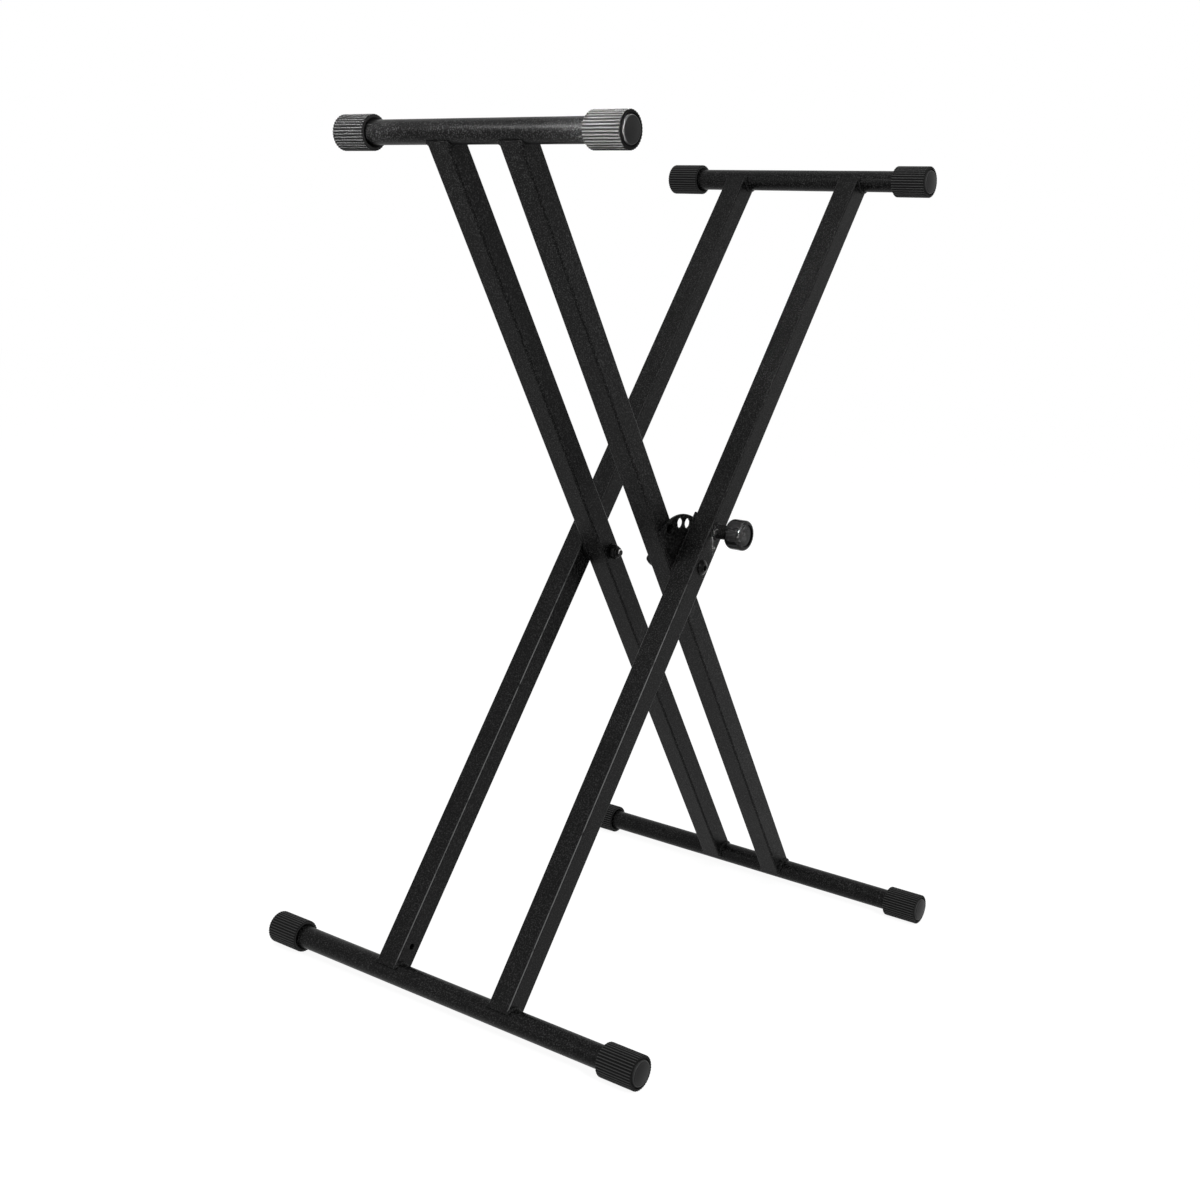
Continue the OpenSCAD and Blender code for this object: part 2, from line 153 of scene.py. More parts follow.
@dataclass(frozen=True)
class CrossFrame:
    """One of the two crossed frames, leaning about the pivot line."""

    body: str
    lean: float
    pivot_z: float = 426.01
    half_span: float = 492.5

    @property
    def prefix(self) -> str:
        """Word that the names of this frame's nodes start with."""
        return self.body.removesuffix("_frame")

    def bars(self) -> tuple[tuple[str, float, float], ...]:
        """Name of each bar's place, width over its caps, and height above the pivot along the legs."""
        return (("top", SIZES.top_width, self.half_span), ("foot", SIZES.foot_width, -self.half_span))

    def place(self, points: Points) -> Points:
        """Leans points about the pivot: x' = x cos a + z sin a, z' = z cos a - x sin a.

        Args:
            points: Points in the frame's own axes, z up along the legs.

        Returns:
            The points in the axes of the whole stand.
        """
        sine, cosine = math.sin(math.radians(self.lean)), math.cos(math.radians(self.lean))
        x, y, z = np.moveaxis(points, -1, 0)
        return np.stack([x * cosine + z * sine, y, z * cosine - x * sine + self.pivot_z], axis=-1)


OUTER = CrossFrame("outer_frame", 33.8)
INNER = CrossFrame("inner_frame", -33.8)


class Shade:
    """A number that varies over a surface, so that shader maths reads as Python."""

    def __init__(self, tree: "ShaderTree", socket: bpy.types.NodeSocket) -> None:
        """Keeps the socket that gives the number, and the tree that it is in."""
        self.tree = tree
        self.socket = socket

    def __add__(self, other: "Term") -> "Shade":
        """Sum."""
        return self.tree.math("ADD", self, other)

    def __sub__(self, other: "Term") -> "Shade":
        """Difference."""
        return self.tree.math("SUBTRACT", self, other)

    def __rsub__(self, other: "Term") -> "Shade":
        """Difference, taken from a plain number."""
        return self.tree.math("SUBTRACT", other, self)

    def __mul__(self, other: "Term") -> "Shade":
        """Product."""
        return self.tree.math("MULTIPLY", self, other)

    def __truediv__(self, other: "Term") -> "Shade":
        """Quotient."""
        return self.tree.math("DIVIDE", self, other)

    def __abs__(self) -> "Shade":
        """Distance from zero."""
        return self.tree.math("ABSOLUTE", self, 0.0)

    __radd__ = __add__
    __rmul__ = __mul__

    def swing(self, width: float) -> "Shade":
        """Width times the departure from 0.5, the value that noise keeps on average."""
        return (self - 0.5) * width

    def between(self, low: float, high: float) -> "Shade":
        """Smooth step: 0 below low and 1 above high.

        Args:
            low: Value at which the step starts.
            high: Value at which the step ends.

        Returns:
            The stepped number.
        """
        made = self.tree.node(
            "ShaderNodeMapRange",
            {"interpolation_type": "SMOOTHSTEP"},
            {"Value": self, "From Min": low, "From Max": high},
        )
        return Shade(self.tree, made.outputs["Result"])


Term = Shade | float


class ShaderTree:
    """Adds nodes to the tree of a material or of the world."""

    def __init__(self, tree: bpy.types.NodeTree) -> None:
        """Empties the tree, so that only what is asked for is in it."""
        self.tree = tree
        self.tree.nodes.clear()

    def node(
        self,
        kind: str,
        settings: Mapping[str, Any] | None = None,
        inputs: Mapping[str | int, Any] | None = None,
    ) -> bpy.types.Node:
        """Adds a node, sets it up and then fills its sockets.

        Args:
            kind: Blender's name of the node type.
            settings: Properties of the node.
            inputs: Values, shades or sockets for its inputs, by name or number.

        Returns:
            The new node.
        """
        made = self.tree.nodes.new(kind)
        for name, value in (settings or {}).items():
            setattr(made, name, value)
        for key, value in (inputs or {}).items():
            if isinstance(value, Shade):
                self.tree.links.new(value.socket, made.inputs[key])
            elif isinstance(value, bpy.types.NodeSocket):
                self.tree.links.new(value, made.inputs[key])
            else:
                made.inputs[key].default_value = value
        return made

    def math(self, operation: str, first: Term, second: Term) -> Shade:
        """Adds a Math node on two terms.

        Args:
            operation: Blender's name of the operation.
            first: Left term.
            second: Right term.

        Returns:
            The result.
        """
        made = self.node("ShaderNodeMath", {"operation": operation}, {0: first, 1: second})
        return Shade(self, made.outputs[0])

    def place(self) -> bpy.types.NodeSocket:
        """Object coordinates, which are the stand's own metres."""
        return self.node("ShaderNodeTexCoord").outputs["Object"]

    def noise(self, grain: float, detail: float, rough: float = 0.5) -> Shade:
        """Noise whose lumps are about grain millimetres wide.

        Args:
            grain: Width of a lump.
            detail: Number of finer layers.
            rough: Weight of the finer layers.

        Returns:
            The noise, about 0.5 on average.
        """
        made = self.node(
            "ShaderNodeTexNoise",
            inputs={
                "Vector": self.place(), "Scale": 1.0 / (grain * MM), "Detail": detail, "Roughness": rough,
            },
        )
        return Shade(self, made.outputs[0])

    def attribute(self, name: str) -> Shade:
        """Number that the surface carries at its points."""
        return Shade(self, self.node("ShaderNodeAttribute", {"attribute_name": name}).outputs["Fac"])

    def blend(self, share: Term, first: Any, second: Any) -> bpy.types.NodeSocket:
        """Mixes two colours.

        Args:
            share: Share of the second colour.
            first: Colour or socket where the share is 0.
            second: Colour or socket where the share is 1.

        Returns:
            The socket with the mixed colour.
        """
        made = self.node("ShaderNodeMix", {"data_type": "RGBA"}, {0: share, 6: first, 7: second})
        return made.outputs[2]

    def bump(self, height: Shade, depth: float, strength: float = 1.0) -> bpy.types.NodeSocket:
        """Turns a height into a bumped normal.

        Args:
            height: Height from 0 to 1.
            depth: Depth in millimetres that the height stands for.
            strength: Share of the bump that is used.

        Returns:
            The socket with the normal.
        """
        made = self.node(
            "ShaderNodeBump", inputs={"Strength": strength, "Distance": depth * MM, "Height": height}
        )
        return made.outputs["Normal"]


def grey(level: float) -> tuple[float, float, float, float]:
    """A linear grey, opaque."""
    return (level, level, level, 1.0)


@dataclass(frozen=True)
class Finish:
    """What every finish has: its name, its gloss and a shader that is made once."""

    name: str
    specular: float = 0.5
    metallic: float = 0.0

    def sockets(self, tree: ShaderTree) -> dict[str, Any]:
        """Values or sockets of the surface shader that vary with the finish."""
        raise NotImplementedError

    def material(self) -> bpy.types.Material:
        """Makes the material, or finds it if it was made before.

        Returns:
            The material.
        """
        found = bpy.data.materials.get(self.name)
        if found is not None:
            return found
        made = bpy.data.materials.new(self.name)
        made.use_nodes = True
        tree = ShaderTree(made.node_tree)
        inputs = {"Specular IOR Level": self.specular, "Metallic": self.metallic}
        inputs.update(self.sockets(tree))
        shader = tree.node("ShaderNodeBsdfPrincipled", inputs=inputs)
        tree.node("ShaderNodeOutputMaterial", inputs={"Surface": shader.outputs[0]})
        return made


@dataclass(frozen=True)
class PowderCoat(Finish):
    """Satin black powder coat: fine pale specks, an orange-peel skin and a slow drift in gloss."""

    name: str = "satin_black_powder_coat"
    specular: float = 0.08
    dark: float = 0.001
    pale: float = 0.044
    roughness: float = 0.39
    speck_size: float = 1.3
    peel_size: float = 3.2
    drift_size: float = 38.0
    speck_band: tuple[float, float] = (0.46, 0.76)
    drift_gloss: float = 0.3
    speck_gloss: float = 0.2
    depth: float = 0.2
    bump_share: float = 0.65

    def sockets(self, tree: ShaderTree) -> dict[str, Any]:
        """Specks lift the colour, and peel and specks together make the bump.

        Args:
            tree: Tree that the nodes go in.

        Returns:
            Sockets of the surface shader.
        """
        specks = tree.noise(self.speck_size, 1.0)
        peel = tree.noise(self.peel_size, 1.0)
        drift = tree.noise(self.drift_size, 3.0)
        share = specks.between(*self.speck_band) * (0.4 + 0.9 * drift)
        return {
            "Base Color": tree.blend(share, grey(self.dark), grey(self.pale)),
            "Roughness": self.roughness + drift.swing(self.drift_gloss) + specks.swing(self.speck_gloss),
            "Normal": tree.bump(0.6 * peel + 0.4 * specks, self.depth, self.bump_share),
        }


@dataclass(frozen=True)
class LegCoat(PowderCoat):
    """Powder coat of the outer legs, with a painted highlight along the tubes' rounded edges below the
    pivot.
    """

    name: str = "satin_black_leg_coat"
    pale: float = 0.036
    # Grey of the painted highlight along the edges
    edge_highlight: float = 0.12
    leg_y: float = SIZES.outer_y
    diagonal: float = 23.62
    edge_w: float = 0.16
    # Heights along the leg where the painted highlight starts to fade and where it is gone; kept is the
    # share that fades
    highlight_full_below: float = -110.0
    highlight_gone_above: float = 20.0
    kept: float = 0.9
    patch_size: float = 11.0
    patch_band: tuple[float, float] = (0.2, 0.5)

    def rub(self, tree: ShaderTree) -> Shade:
        """Painted edge highlight: how far |x'| + ||y| - leg y| passes the diagonal, x' across the leg.

        Args:
            tree: Tree that the nodes go in.

        Returns:
            1 on the middle of an edge and 0 on the faces, broken up along the leg and fading out
            above the pivot.
        """
        parts = tree.node("ShaderNodeSeparateXYZ", inputs={0: tree.place()}).outputs
        x, y, z = (Shade(tree, parts[axis]) / MM for axis in "XYZ")
        sine, cosine = math.sin(math.radians(OUTER.lean)), math.cos(math.radians(OUTER.lean))
        across = abs(x * cosine - (z - OUTER.pivot_z) * sine)
        along = x * sine + (z - OUTER.pivot_z) * cosine
        aside = abs(abs(y) - self.leg_y)
        edge = (across + aside).between(self.diagonal, self.diagonal + self.edge_w)
        patches = tree.noise(self.patch_size, 2.0).between(*self.patch_band)
        # The painted highlight fades out above the pivot, where these edges catch less light
        return edge * patches * (1.0 - self.kept * along.between(self.highlight_full_below, self.highlight_gone_above))

    def sockets(self, tree: ShaderTree) -> dict[str, Any]:
        """The plain coat, with the painted highlight along its edges.

        Args:
            tree: Tree that the nodes go in.

        Returns:
            Sockets of the surface shader.
        """
        plain = super().sockets(tree)
        # Paints the pale highlight along the edges into the base colour
        plain["Base Color"] = tree.blend(self.rub(tree), plain["Base Color"], grey(self.edge_highlight))
        return plain


@dataclass(frozen=True)
class CapRubber(Finish):
    """Matte black rubber with smoother discs, with painted shade in the grooves and sunk rings.

    Crests are greyer with dust and wear, and the discs' walls carry a painted highlight.
    """

    name: str = "matte_cap_rubber"
    specular: float = 0.08
    dark: float = 0.002
    pale: float = 0.05
    roughness: float = 0.55
    polish: float = 0.22
    grain_size: float = 0.7
    patch_size: float = 14.0
    patch_gloss: float = 0.14
    grain_gloss: float = 0.1
    depth: float = 0.05
    bump_share: float = 0.6
    disc_t: float = 2.35
    blend_w: float = 0.1
    past_w: float = 1.0
    ends: tuple[float, float] = (SIZES.top_width / 2.0, SIZES.foot_width / 2.0)

    def disc(self, tree: ShaderTree) -> Shade:
        """Finds the raised discs, which are the last of the top caps and of the foot caps along y.

        Args:
            tree: Tree that the nodes go in.

        Returns:
            1 on the discs and 0 on the rest of the caps.
        """
        parts = tree.node("ShaderNodeSeparateXYZ", inputs={0: tree.place()}).outputs
        aside = abs(Shade(tree, parts["Y"]) / MM)
        top, foot = (
            aside.between(end - self.disc_t, end - self.disc_t + self.blend_w) for end in self.ends
        )
        past_top = aside.between(self.ends[0] + self.past_w, self.ends[0] + 2.0 * self.past_w)
        return top * (1.0 - past_top) + foot

    def sockets(self, tree: ShaderTree) -> dict[str, Any]:
        """Pale where the crest value is high, in patches; a fine grain makes the bump.

        Args:
            tree: Tree that the nodes go in.

        Returns:
            Sockets of the surface shader.
        """
        crest = tree.attribute("crest")
        grain = tree.noise(self.grain_size, 2.0)
        patches = tree.noise(self.patch_size, 3.0)
        # Low values paint shade into the grooves and sunk rings; high values stand for dusty wear on the
        # crests and paint a highlight on the discs' walls
        share = crest * crest * (0.75 + 0.5 * patches) * (0.6 + 0.8 * grain)
        rough = self.roughness - self.polish * self.disc(tree)
        return {
            "Base Color": tree.blend(share, grey(self.dark), grey(self.pale)),
            "Roughness": rough + patches.swing(self.patch_gloss) + grain.swing(self.grain_gloss),
            "Normal": tree.bump(grain, self.depth, self.bump_share),
        }


@dataclass(frozen=True)
class MouldedPlastic(Finish):
    """Black moulded plastic with a fine spark-eroded grain."""

    name: str = "satin_knob_plastic"
    specular: float = 0.1
    dark: float = 0.001
    pale: float = 0.004
    roughness: float = 0.2
    grain_size: float = 1.0
    drift_size: float = 9.0
    grain_band: tuple[float, float] = (0.3, 0.7)
    drift_gloss: float = 0.12
    grain_gloss: float = 0.1
    depth: float = 0.07
    bump_share: float = 0.7

    def sockets(self, tree: ShaderTree) -> dict[str, Any]:
        """Grain and a slow drift share out colour, gloss and bump.

        Args:
            tree: Tree that the nodes go in.

        Returns:
            Sockets of the surface shader.
        """
        grain = tree.noise(self.grain_size, 3.0)
        drift = tree.noise(self.drift_size, 2.0)
        share = grain.between(*self.grain_band) * drift
        return {
            "Base Color": tree.blend(share, grey(self.dark), grey(self.pale)),
            "Roughness": self.roughness + drift.swing(self.drift_gloss) + grain.swing(self.grain_gloss),
            "Normal": tree.bump(grain, self.depth, self.bump_share),
        }


@dataclass(frozen=True)
class PlatedSteel(Finish):
    """Plated steel with fine scratches, a film that dulls it in places, and wear down to bare steel."""

    name: str = "bright_zinc"
    metallic: float = 1.0
    dark: tuple[float, float, float, float] = (0.46, 0.46, 0.47, 1.0)
    pale: tuple[float, float, float, float] = (0.72, 0.73, 0.75, 1.0)
    bare: tuple[float, float, float, float] = (0.56, 0.55, 0.54, 1.0)
    roughness: float = 0.3
    film_size: float = 4.0
    scratch_size: float = 0.35
    wear_size: float = 3.0
    film_band: tuple[float, float] = (0.3, 0.7)
    wear_band: tuple[float, float] = (0.42, 0.6)
    film_gloss: float = 0.25
    scratch_gloss: float = 0.1
    depth: float = 0.02
    bump_share: float = 0.5

    def sockets(self, tree: ShaderTree) -> dict[str, Any]:
        """Film darkens and dulls, fine scratches lift the bump, and the plating wears off where the
        crest value is low.

        Args:
            tree: Tree that the nodes go in.

        Returns:
            Sockets of the surface shader.
        """
        film = tree.noise(self.film_size, 3.0, 0.6)
        scratch = tree.noise(self.scratch_size, 2.0)
        plated = tree.blend(film.between(*self.film_band), self.dark, self.pale)
        patches = tree.noise(self.wear_size, 1.0).between(*self.wear_band)
        worn = (1.0 - tree.attribute("crest")) * patches
        return {
            "Base Color": tree.blend(worn, plated, self.bare),
            "Roughness": self.roughness + film.swing(self.film_gloss) + scratch.swing(self.scratch_gloss),
            "Normal": tree.bump(scratch, self.depth, self.bump_share),
        }


POWDER = PowderCoat()
LEG_POWDER = LegCoat()
RUBBER = CapRubber()
KNOB_PLASTIC = MouldedPlastic()
WASHER_PLASTIC = MouldedPlastic("matte_washer_plastic", roughness=0.5, grain_size=1.1)
ZINC = PlatedSteel()
BLACK_STEEL = PlatedSteel("black_plated_steel", dark=grey(0.005), pale=grey(0.018), roughness=0.36)


class Slot(Enum):
    """Material slots of the record, each with the finish that stands for it here."""

    POWDER_COAT = ("powder_coat", POWDER)
    CAP_RUBBER = ("cap_rubber", RUBBER)
    KNOB_PLASTIC = ("knob_plastic", KNOB_PLASTIC)
    WASHER_PLASTIC = ("washer_plastic", WASHER_PLASTIC)
    ZINC_STEEL = ("zinc_steel", ZINC)
    BLACK_STEEL = ("black_steel", BLACK_STEEL)

    @property
    def key(self) -> str:
        """Name of the slot in the record."""
        return self.value[0]

    @property
    def finish(self) -> Finish:
        """Finish of the slot."""
        return self.value[1]


def unit(vectors: Points) -> Points:
    """Scales vectors to length 1, leaving those without length alone."""
    return vectors / np.maximum(np.linalg.norm(vectors, axis=-1, keepdims=True), NO_LENGTH)


def distinct(outline: Points) -> Points:
    """Drops points of an outline that repeat the one before."""
    step = np.linalg.norm(np.diff(outline, axis=0), axis=1)
    return outline[np.concatenate([[True], step > SAME_POINT])]


def filleted(corners: Sequence[tuple[float, float, float]], steps: int = 4) -> Points:
    """Outline through corners, each rounded by its own radius.

    At a corner with directions u and v to its neighbours and the half angle h between them, the arc
    starts and ends radius / tan h along u and v, and its centre is radius / sin h along their
    bisector. The arc's points turn evenly from one end to the other. A point beside each end, at
    LEAD_SHARE of the flat that is left or of LEAD_REACH, keeps that flat even in shading.

    Args:
        corners: Distance from the axis, height and radius of each corner, in order.
        steps: Steps along each arc.

    Returns:
        Points of the outline, as distance from the axis and height.
    """
    table = np.asarray(corners, dtype=float)
    here, radius = table[:, :2], table[:, 2:]
    before, after = np.roll(here, 1, axis=0), np.roll(here, -1, axis=0)
    u, v = unit(before - here), unit(after - here)
    half = np.maximum(0.5 * np.arccos(np.clip((u * v).sum(axis=1, keepdims=True), -1.0, 1.0)), NO_ANGLE)
    reach = radius / np.tan(half)
    centre = here + unit(u + v) * radius / np.sin(half)
    sweep = np.maximum(math.pi - 2.0 * half, NO_ANGLE)[:, None]
    start, end = (here + u * reach - centre)[:, None], (here + v * reach - centre)[:, None]
    t = np.linspace(0.0, 1.0, steps + 1)[None, :, None]
    arc = centre[:, None] + (np.sin((1.0 - t) * sweep) * start + np.sin(t * sweep) * end) / np.sin(sweep)
    behind = np.linalg.norm(before - here, axis=1, keepdims=True) - reach - np.roll(reach, 1, axis=0)
    ahead = np.linalg.norm(after - here, axis=1, keepdims=True) - reach - np.roll(reach, -1, axis=0)
    lead = np.where(radius > 0.0, LEAD_SHARE, 0.0)
    first = here + u * (reach + lead * np.clip(behind, 0.0, LEAD_REACH))
    last = here + v * (reach + lead * np.clip(ahead, 0.0, LEAD_REACH))
    return distinct(np.concatenate([first[:, None], arc, last[:, None]], axis=1).reshape(-1, 2))


def even_angles(count: int) -> Points:
    """Angles of a full turn, evenly spaced."""
    return TAU * np.arange(count) / count


def turned(
    profile: Points, angles: Points, pull: Callable[[Points, Points, Points], Points] | None = None
) -> Points:
    """Carries a profile round the z axis: x = r cos a, y = r sin a, z = z.

    Args:
        profile: Points of the profile, as distance r from the axis and height z.
        angles: Angles a at which the profile stands.
        pull: Gives the distance actually used, from r, z and a.

    Returns:
        A grid with a row per profile point and a column per angle.
    """
    r = np.repeat(profile[:, :1], len(angles), axis=1)
    z = np.repeat(profile[:, 1:], len(angles), axis=1)
    a = np.broadcast_to(angles, r.shape)
    if pull is not None:
        r = pull(r, z, a)
    return np.stack([r * np.cos(a), r * np.sin(a), z], axis=-1)


def hexagon_reach(angle: Points, flats: float) -> Points:
    """Distance from a hexagon's centre to its side: half the flats / cos of the angle from the flat."""
    return flats / 2.0 / np.cos(np.mod(angle, 2.0 * HALF_SIDE) - HALF_SIDE)


@dataclass(frozen=True)
class Surface:
    """Points in millimetres, the faces between them, and one crest value per point."""

    points: Points
    quads: NDArray[np.int64]
    triangles: NDArray[np.int64]
    crest: Points

    @classmethod
    def woven(
        cls,
        grid: Points,
        closed_rows: bool = False,
        closed_columns: bool = True,
        crest: Points | None = None,
    ) -> "Surface":
        """Faces of a grid: the quad at row i, column j joins the four points round it.

        Args:
            grid: Rows and columns of points.
            closed_rows: Whether the last row joins the first.
            closed_columns: Whether the last column joins the first.
            crest: Values of the grid's points, for wear and dust and for painted light and shade.

        Returns:
            The surface.
        """
        rows, columns = grid.shape[:2]
        index = np.arange(rows * columns).reshape(rows, columns)
        if closed_rows:
            index = np.vstack([index, index[:1]])
        if closed_columns:
            index = np.hstack([index, index[:, :1]])
        quads = np.stack([index[:-1, :-1], index[:-1, 1:], index[1:, 1:], index[1:, :-1]], axis=-1)
        shade = np.ones((rows, columns)) if crest is None else crest
        no_triangles = np.empty((0, 3), dtype=int)
        return cls(grid.reshape(-1, 3), quads.reshape(-1, 4), no_triangles, shade.reshape(-1))

    @classmethod
    def joined(cls, parts: Sequence["Surface"]) -> "Surface":
        """Puts several surfaces in one, without touching their shapes.

        Args:
            parts: Surfaces to put together.

        Returns:
            The joined surface.
        """
        starts = np.cumsum([0] + [len(part.points) for part in parts[:-1]])
        return cls(
            np.concatenate([part.points for part in parts]),
            np.concatenate([part.quads + start for part, start in zip(parts, starts)]),
            np.concatenate([part.triangles + start for part, start in zip(parts, starts)]),
            np.concatenate([part.crest for part in parts]),
        )

    def mapped(self, move: Callable[[Points], Points]) -> "Surface":
        """The same surface with its points moved."""
        return Surface(move(self.points), self.quads, self.triangles, self.crest)

    def object(self, name: str, finish: Finish) -> bpy.types.Object:
        """Makes a Blender object of the surface, its seams and poles closed and its faces outward.

        Args:
            name: Name of the object.
            finish: Finish that it gets.

        Returns:
            The object, at the origin, with its place in its mesh.
        """
        mesh = bpy.data.meshes.new(name)
        mesh.from_pydata((self.points * MM).tolist(), [], self.quads.tolist() + self.triangles.tolist())
        # Carries the values for wear and for painted light and shade to the shaders
        crest = mesh.attributes.new("crest", "FLOAT", "POINT")
        crest.data.foreach_set("value", self.crest.astype(np.float32))
        work = bmesh.new()
        work.from_mesh(mesh)
        bmesh.ops.remove_doubles(work, verts=work.verts, dist=WELD_DISTANCE)
        bmesh.ops.recalc_face_normals(work, faces=work.faces)
        work.to_mesh(mesh)
        work.free()
        mesh.shade_smooth()
        mesh.set_sharp_from_angle(angle=CREASE)
        mesh.materials.append(finish.material())
        made = bpy.data.objects.new(name, mesh)
        bpy.context.scene.collection.objects.link(made)
        return made


def install(surface: Surface, name: str, body: str, slot: Slot, *nodes: str) -> bpy.types.Object:
    """Makes a piece, puts it on its body and lets it stand for its CAD nodes.

    Args:
        surface: Shape of the piece, in the stand's axes.
        name: Name of the piece.
        body: CAD body that it rides on.
        slot: Material slot that it takes its finish from.
        nodes: CAD nodes that it replaces.

    Returns:
        The piece.
    """
    piece = surface.object(name, slot.finish)
    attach(piece, body)
    LOG.info("%s: %d points on %s", name, len(piece.data.vertices), body)
    if nodes:
        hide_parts(*nodes)
        corners = np.array([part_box(node) for node in nodes])
        wanted = np.stack([corners[:, 0].min(axis=0), corners[:, 1].max(axis=0)]) / MM
        got = np.stack([surface.points.min(axis=0), surface.points.max(axis=0)])
        if np.abs(wanted - got).max() > BOX_TOLERANCE:
            LOG.warning("%s departs from its node: %s against %s", name, got.round(2), wanted.round(2))
    return piece


def dress(node: str, finish: Finish) -> None:
    """Gives a CAD node that stays its finish.

    Args:
        node: Name of the node.
        finish: Finish that it gets.
    """
    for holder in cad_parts[node].material_slots:
        holder.material = finish.material()
    LOG.info("%s: dressed", node)


@dataclass(frozen=True)
class WeldBead:
    """A welded bead: a round section along a path, swollen into overlapping ripples."""

    radius: float
    pitch: float = 1.7
    swell: float = 0.3
    wander: float = 0.12
    bow: float = 0.35
    drop: float = 0.15
    wave_counts: tuple[int, ...] = (2, 3, 4, 5, 6)
    wave_scale: float = 3.0
    sides: int = 18

    def along(
        self, centres: Points, rising: Points, across: Points, closed: bool = False, seed: int = 0
    ) -> Surface:
        """Carries the section along the path.

        Section radius = (radius + swell x ripple + wander x slow waves) x taper. The ripple climbs
        evenly over each pitch and falls back over its last share, drop. It lags behind on the
        crown, which bows it. Each slow wave repeats a whole number of times along the path, and
        their sum w acts as w |w|. The taper is a quarter round over one radius at each end.

        Args:
            centres: Points of the path.
            rising: Unit vectors from the path out of the joint.
            across: Unit vectors square to them and to the path.
            closed: Whether the path is a loop.
            seed: Seed of the slow waves.

        Returns:
            The bead.
        """
        steps = np.linalg.norm(np.diff(centres, axis=0), axis=1)
        run = np.concatenate([[0.0], np.cumsum(steps)])[:, None]
        length = run[-1, 0] + (steps[0] if closed else 0.0)
        count = max(round(length / self.pitch), 1)
        b = even_angles(self.sides)[None, :]
        phase = np.mod(count * run / length - self.bow * np.cos(b), 1.0)
        ripple = phase * np.clip((1.0 - phase) / self.drop, 0.0, 1.0)
        random = np.random.default_rng(seed)
        turns = np.array(self.wave_counts)[:, None, None]
        shifts = random.uniform(0.0, TAU, turns.shape)
        waves = np.sin(TAU * turns * run / length + b + shifts).sum(axis=0) / self.wave_scale
        radius = self.radius + self.swell * ripple + self.wander * waves * np.abs(waves)
        if not closed:
            edge = np.clip(np.minimum(run, length - run) / self.radius, 0.0, 1.0)
            radius = radius * np.sqrt(1.0 - (1.0 - edge) ** 2)
        section = np.cos(b)[..., None] * rising[:, None] + np.sin(b)[..., None] * across[:, None]
        return Surface.woven(centres[:, None] + radius[..., None] * section, closed_rows=closed)


@dataclass(frozen=True)
class Legs:
    """The four square legs, which stay as they are, and the beads that weld them to their bars."""

    outer_y: float = SIZES.outer_y
    inner_y: float = SIZES.inner_y
    tube: float = SIZES.tube
    bar_radius: float = SIZES.bar_d / 2.0
    bead: WeldBead = WeldBead(2.12)
    half_angle: float = math.radians(77.0)
    bead_steps: int = 150

    def bar_bead(self, crossed: CrossFrame, y: float, up: int, seed: int) -> Surface:
        """Bead round a bar where a leg's face meets it.

        The path is an arc of the bar's radius in the plane of the face: x = r sin a, z = up r cos a.

        Args:
            crossed: Frame that the leg is in.
            y: Place of the leg's face along the bar.
            up: 1 where the leg rises from the bar, -1 where it hangs from it.
            seed: Seed of the bead.

        Returns:
            The bead, in the stand's axes.
        """
        a = np.linspace(-self.half_angle, self.half_angle, self.bead_steps)
        rising = np.stack([np.sin(a), np.zeros_like(a), up * np.cos(a)], axis=-1)
        across = np.broadcast_to([0.0, 1.0, 0.0], rising.shape)
        centres = self.bar_radius * rising + np.array([0.0, y, -up * crossed.half_span])
        return self.bead.along(centres, rising, across, seed=seed).mapped(crossed.place)

    def build(self) -> None:
        """Dresses the legs and lays their beads."""
        for crossed, leg_y, coat in ((OUTER, self.outer_y, LEG_POWDER), (INNER, self.inner_y, POWDER)):
            for side in Side:
                dress(f"{crossed.prefix}_leg_{side.name.lower()}", coat)
            faces = [side.value * leg_y + face * self.tube / 2.0 for side in Side for face in (-1, 1)]
            beads = [
                self.bar_bead(crossed, y, up, seed)
                for seed, (y, up) in enumerate((y, up) for y in faces for up in (-1, 1))
            ]
            name = f"{crossed.prefix}_bar_welds"
            install(Surface.joined(beads), name, crossed.body, Slot.POWDER_COAT)


@dataclass(frozen=True)
class Bars:
    """The four round bars: tubes whose ends stop inside their caps."""

    diameter: float = SIZES.bar_d
    wall: float = 1.5
    end_t: float = SIZES.cap_end_t
    edge_r: float = 0.4
    sectors: int = 96

    def tube(self, width: float) -> Surface:
        """Tube along z, middle at the origin, with rounded rims.

        Args:
            width: Width of the stand over the caps of this bar.

        Returns:
            The tube.
        """
        r, half, rim = self.diameter / 2.0, width / 2.0 - self.end_t, self.edge_r
        bore = r - self.wall
        profile = filleted([(bore, -half, rim), (r, -half, rim), (r, half, rim), (bore, half, rim)])
        return Surface.woven(turned(profile, even_angles(self.sectors)), closed_rows=True)

    def build(self) -> None:
        """Makes the bars of both frames."""
        for crossed in (OUTER, INNER):
            for place, width, z in crossed.bars():
                node = f"{crossed.prefix}_{place}_bar"
                bar = self.tube(width).mapped(lambda p, z=z, c=crossed: c.place(Side.REAR.seat(p, 0.0, z)))
                install(bar, f"{node}_tube", crossed.body, Slot.POWDER_COAT, node)


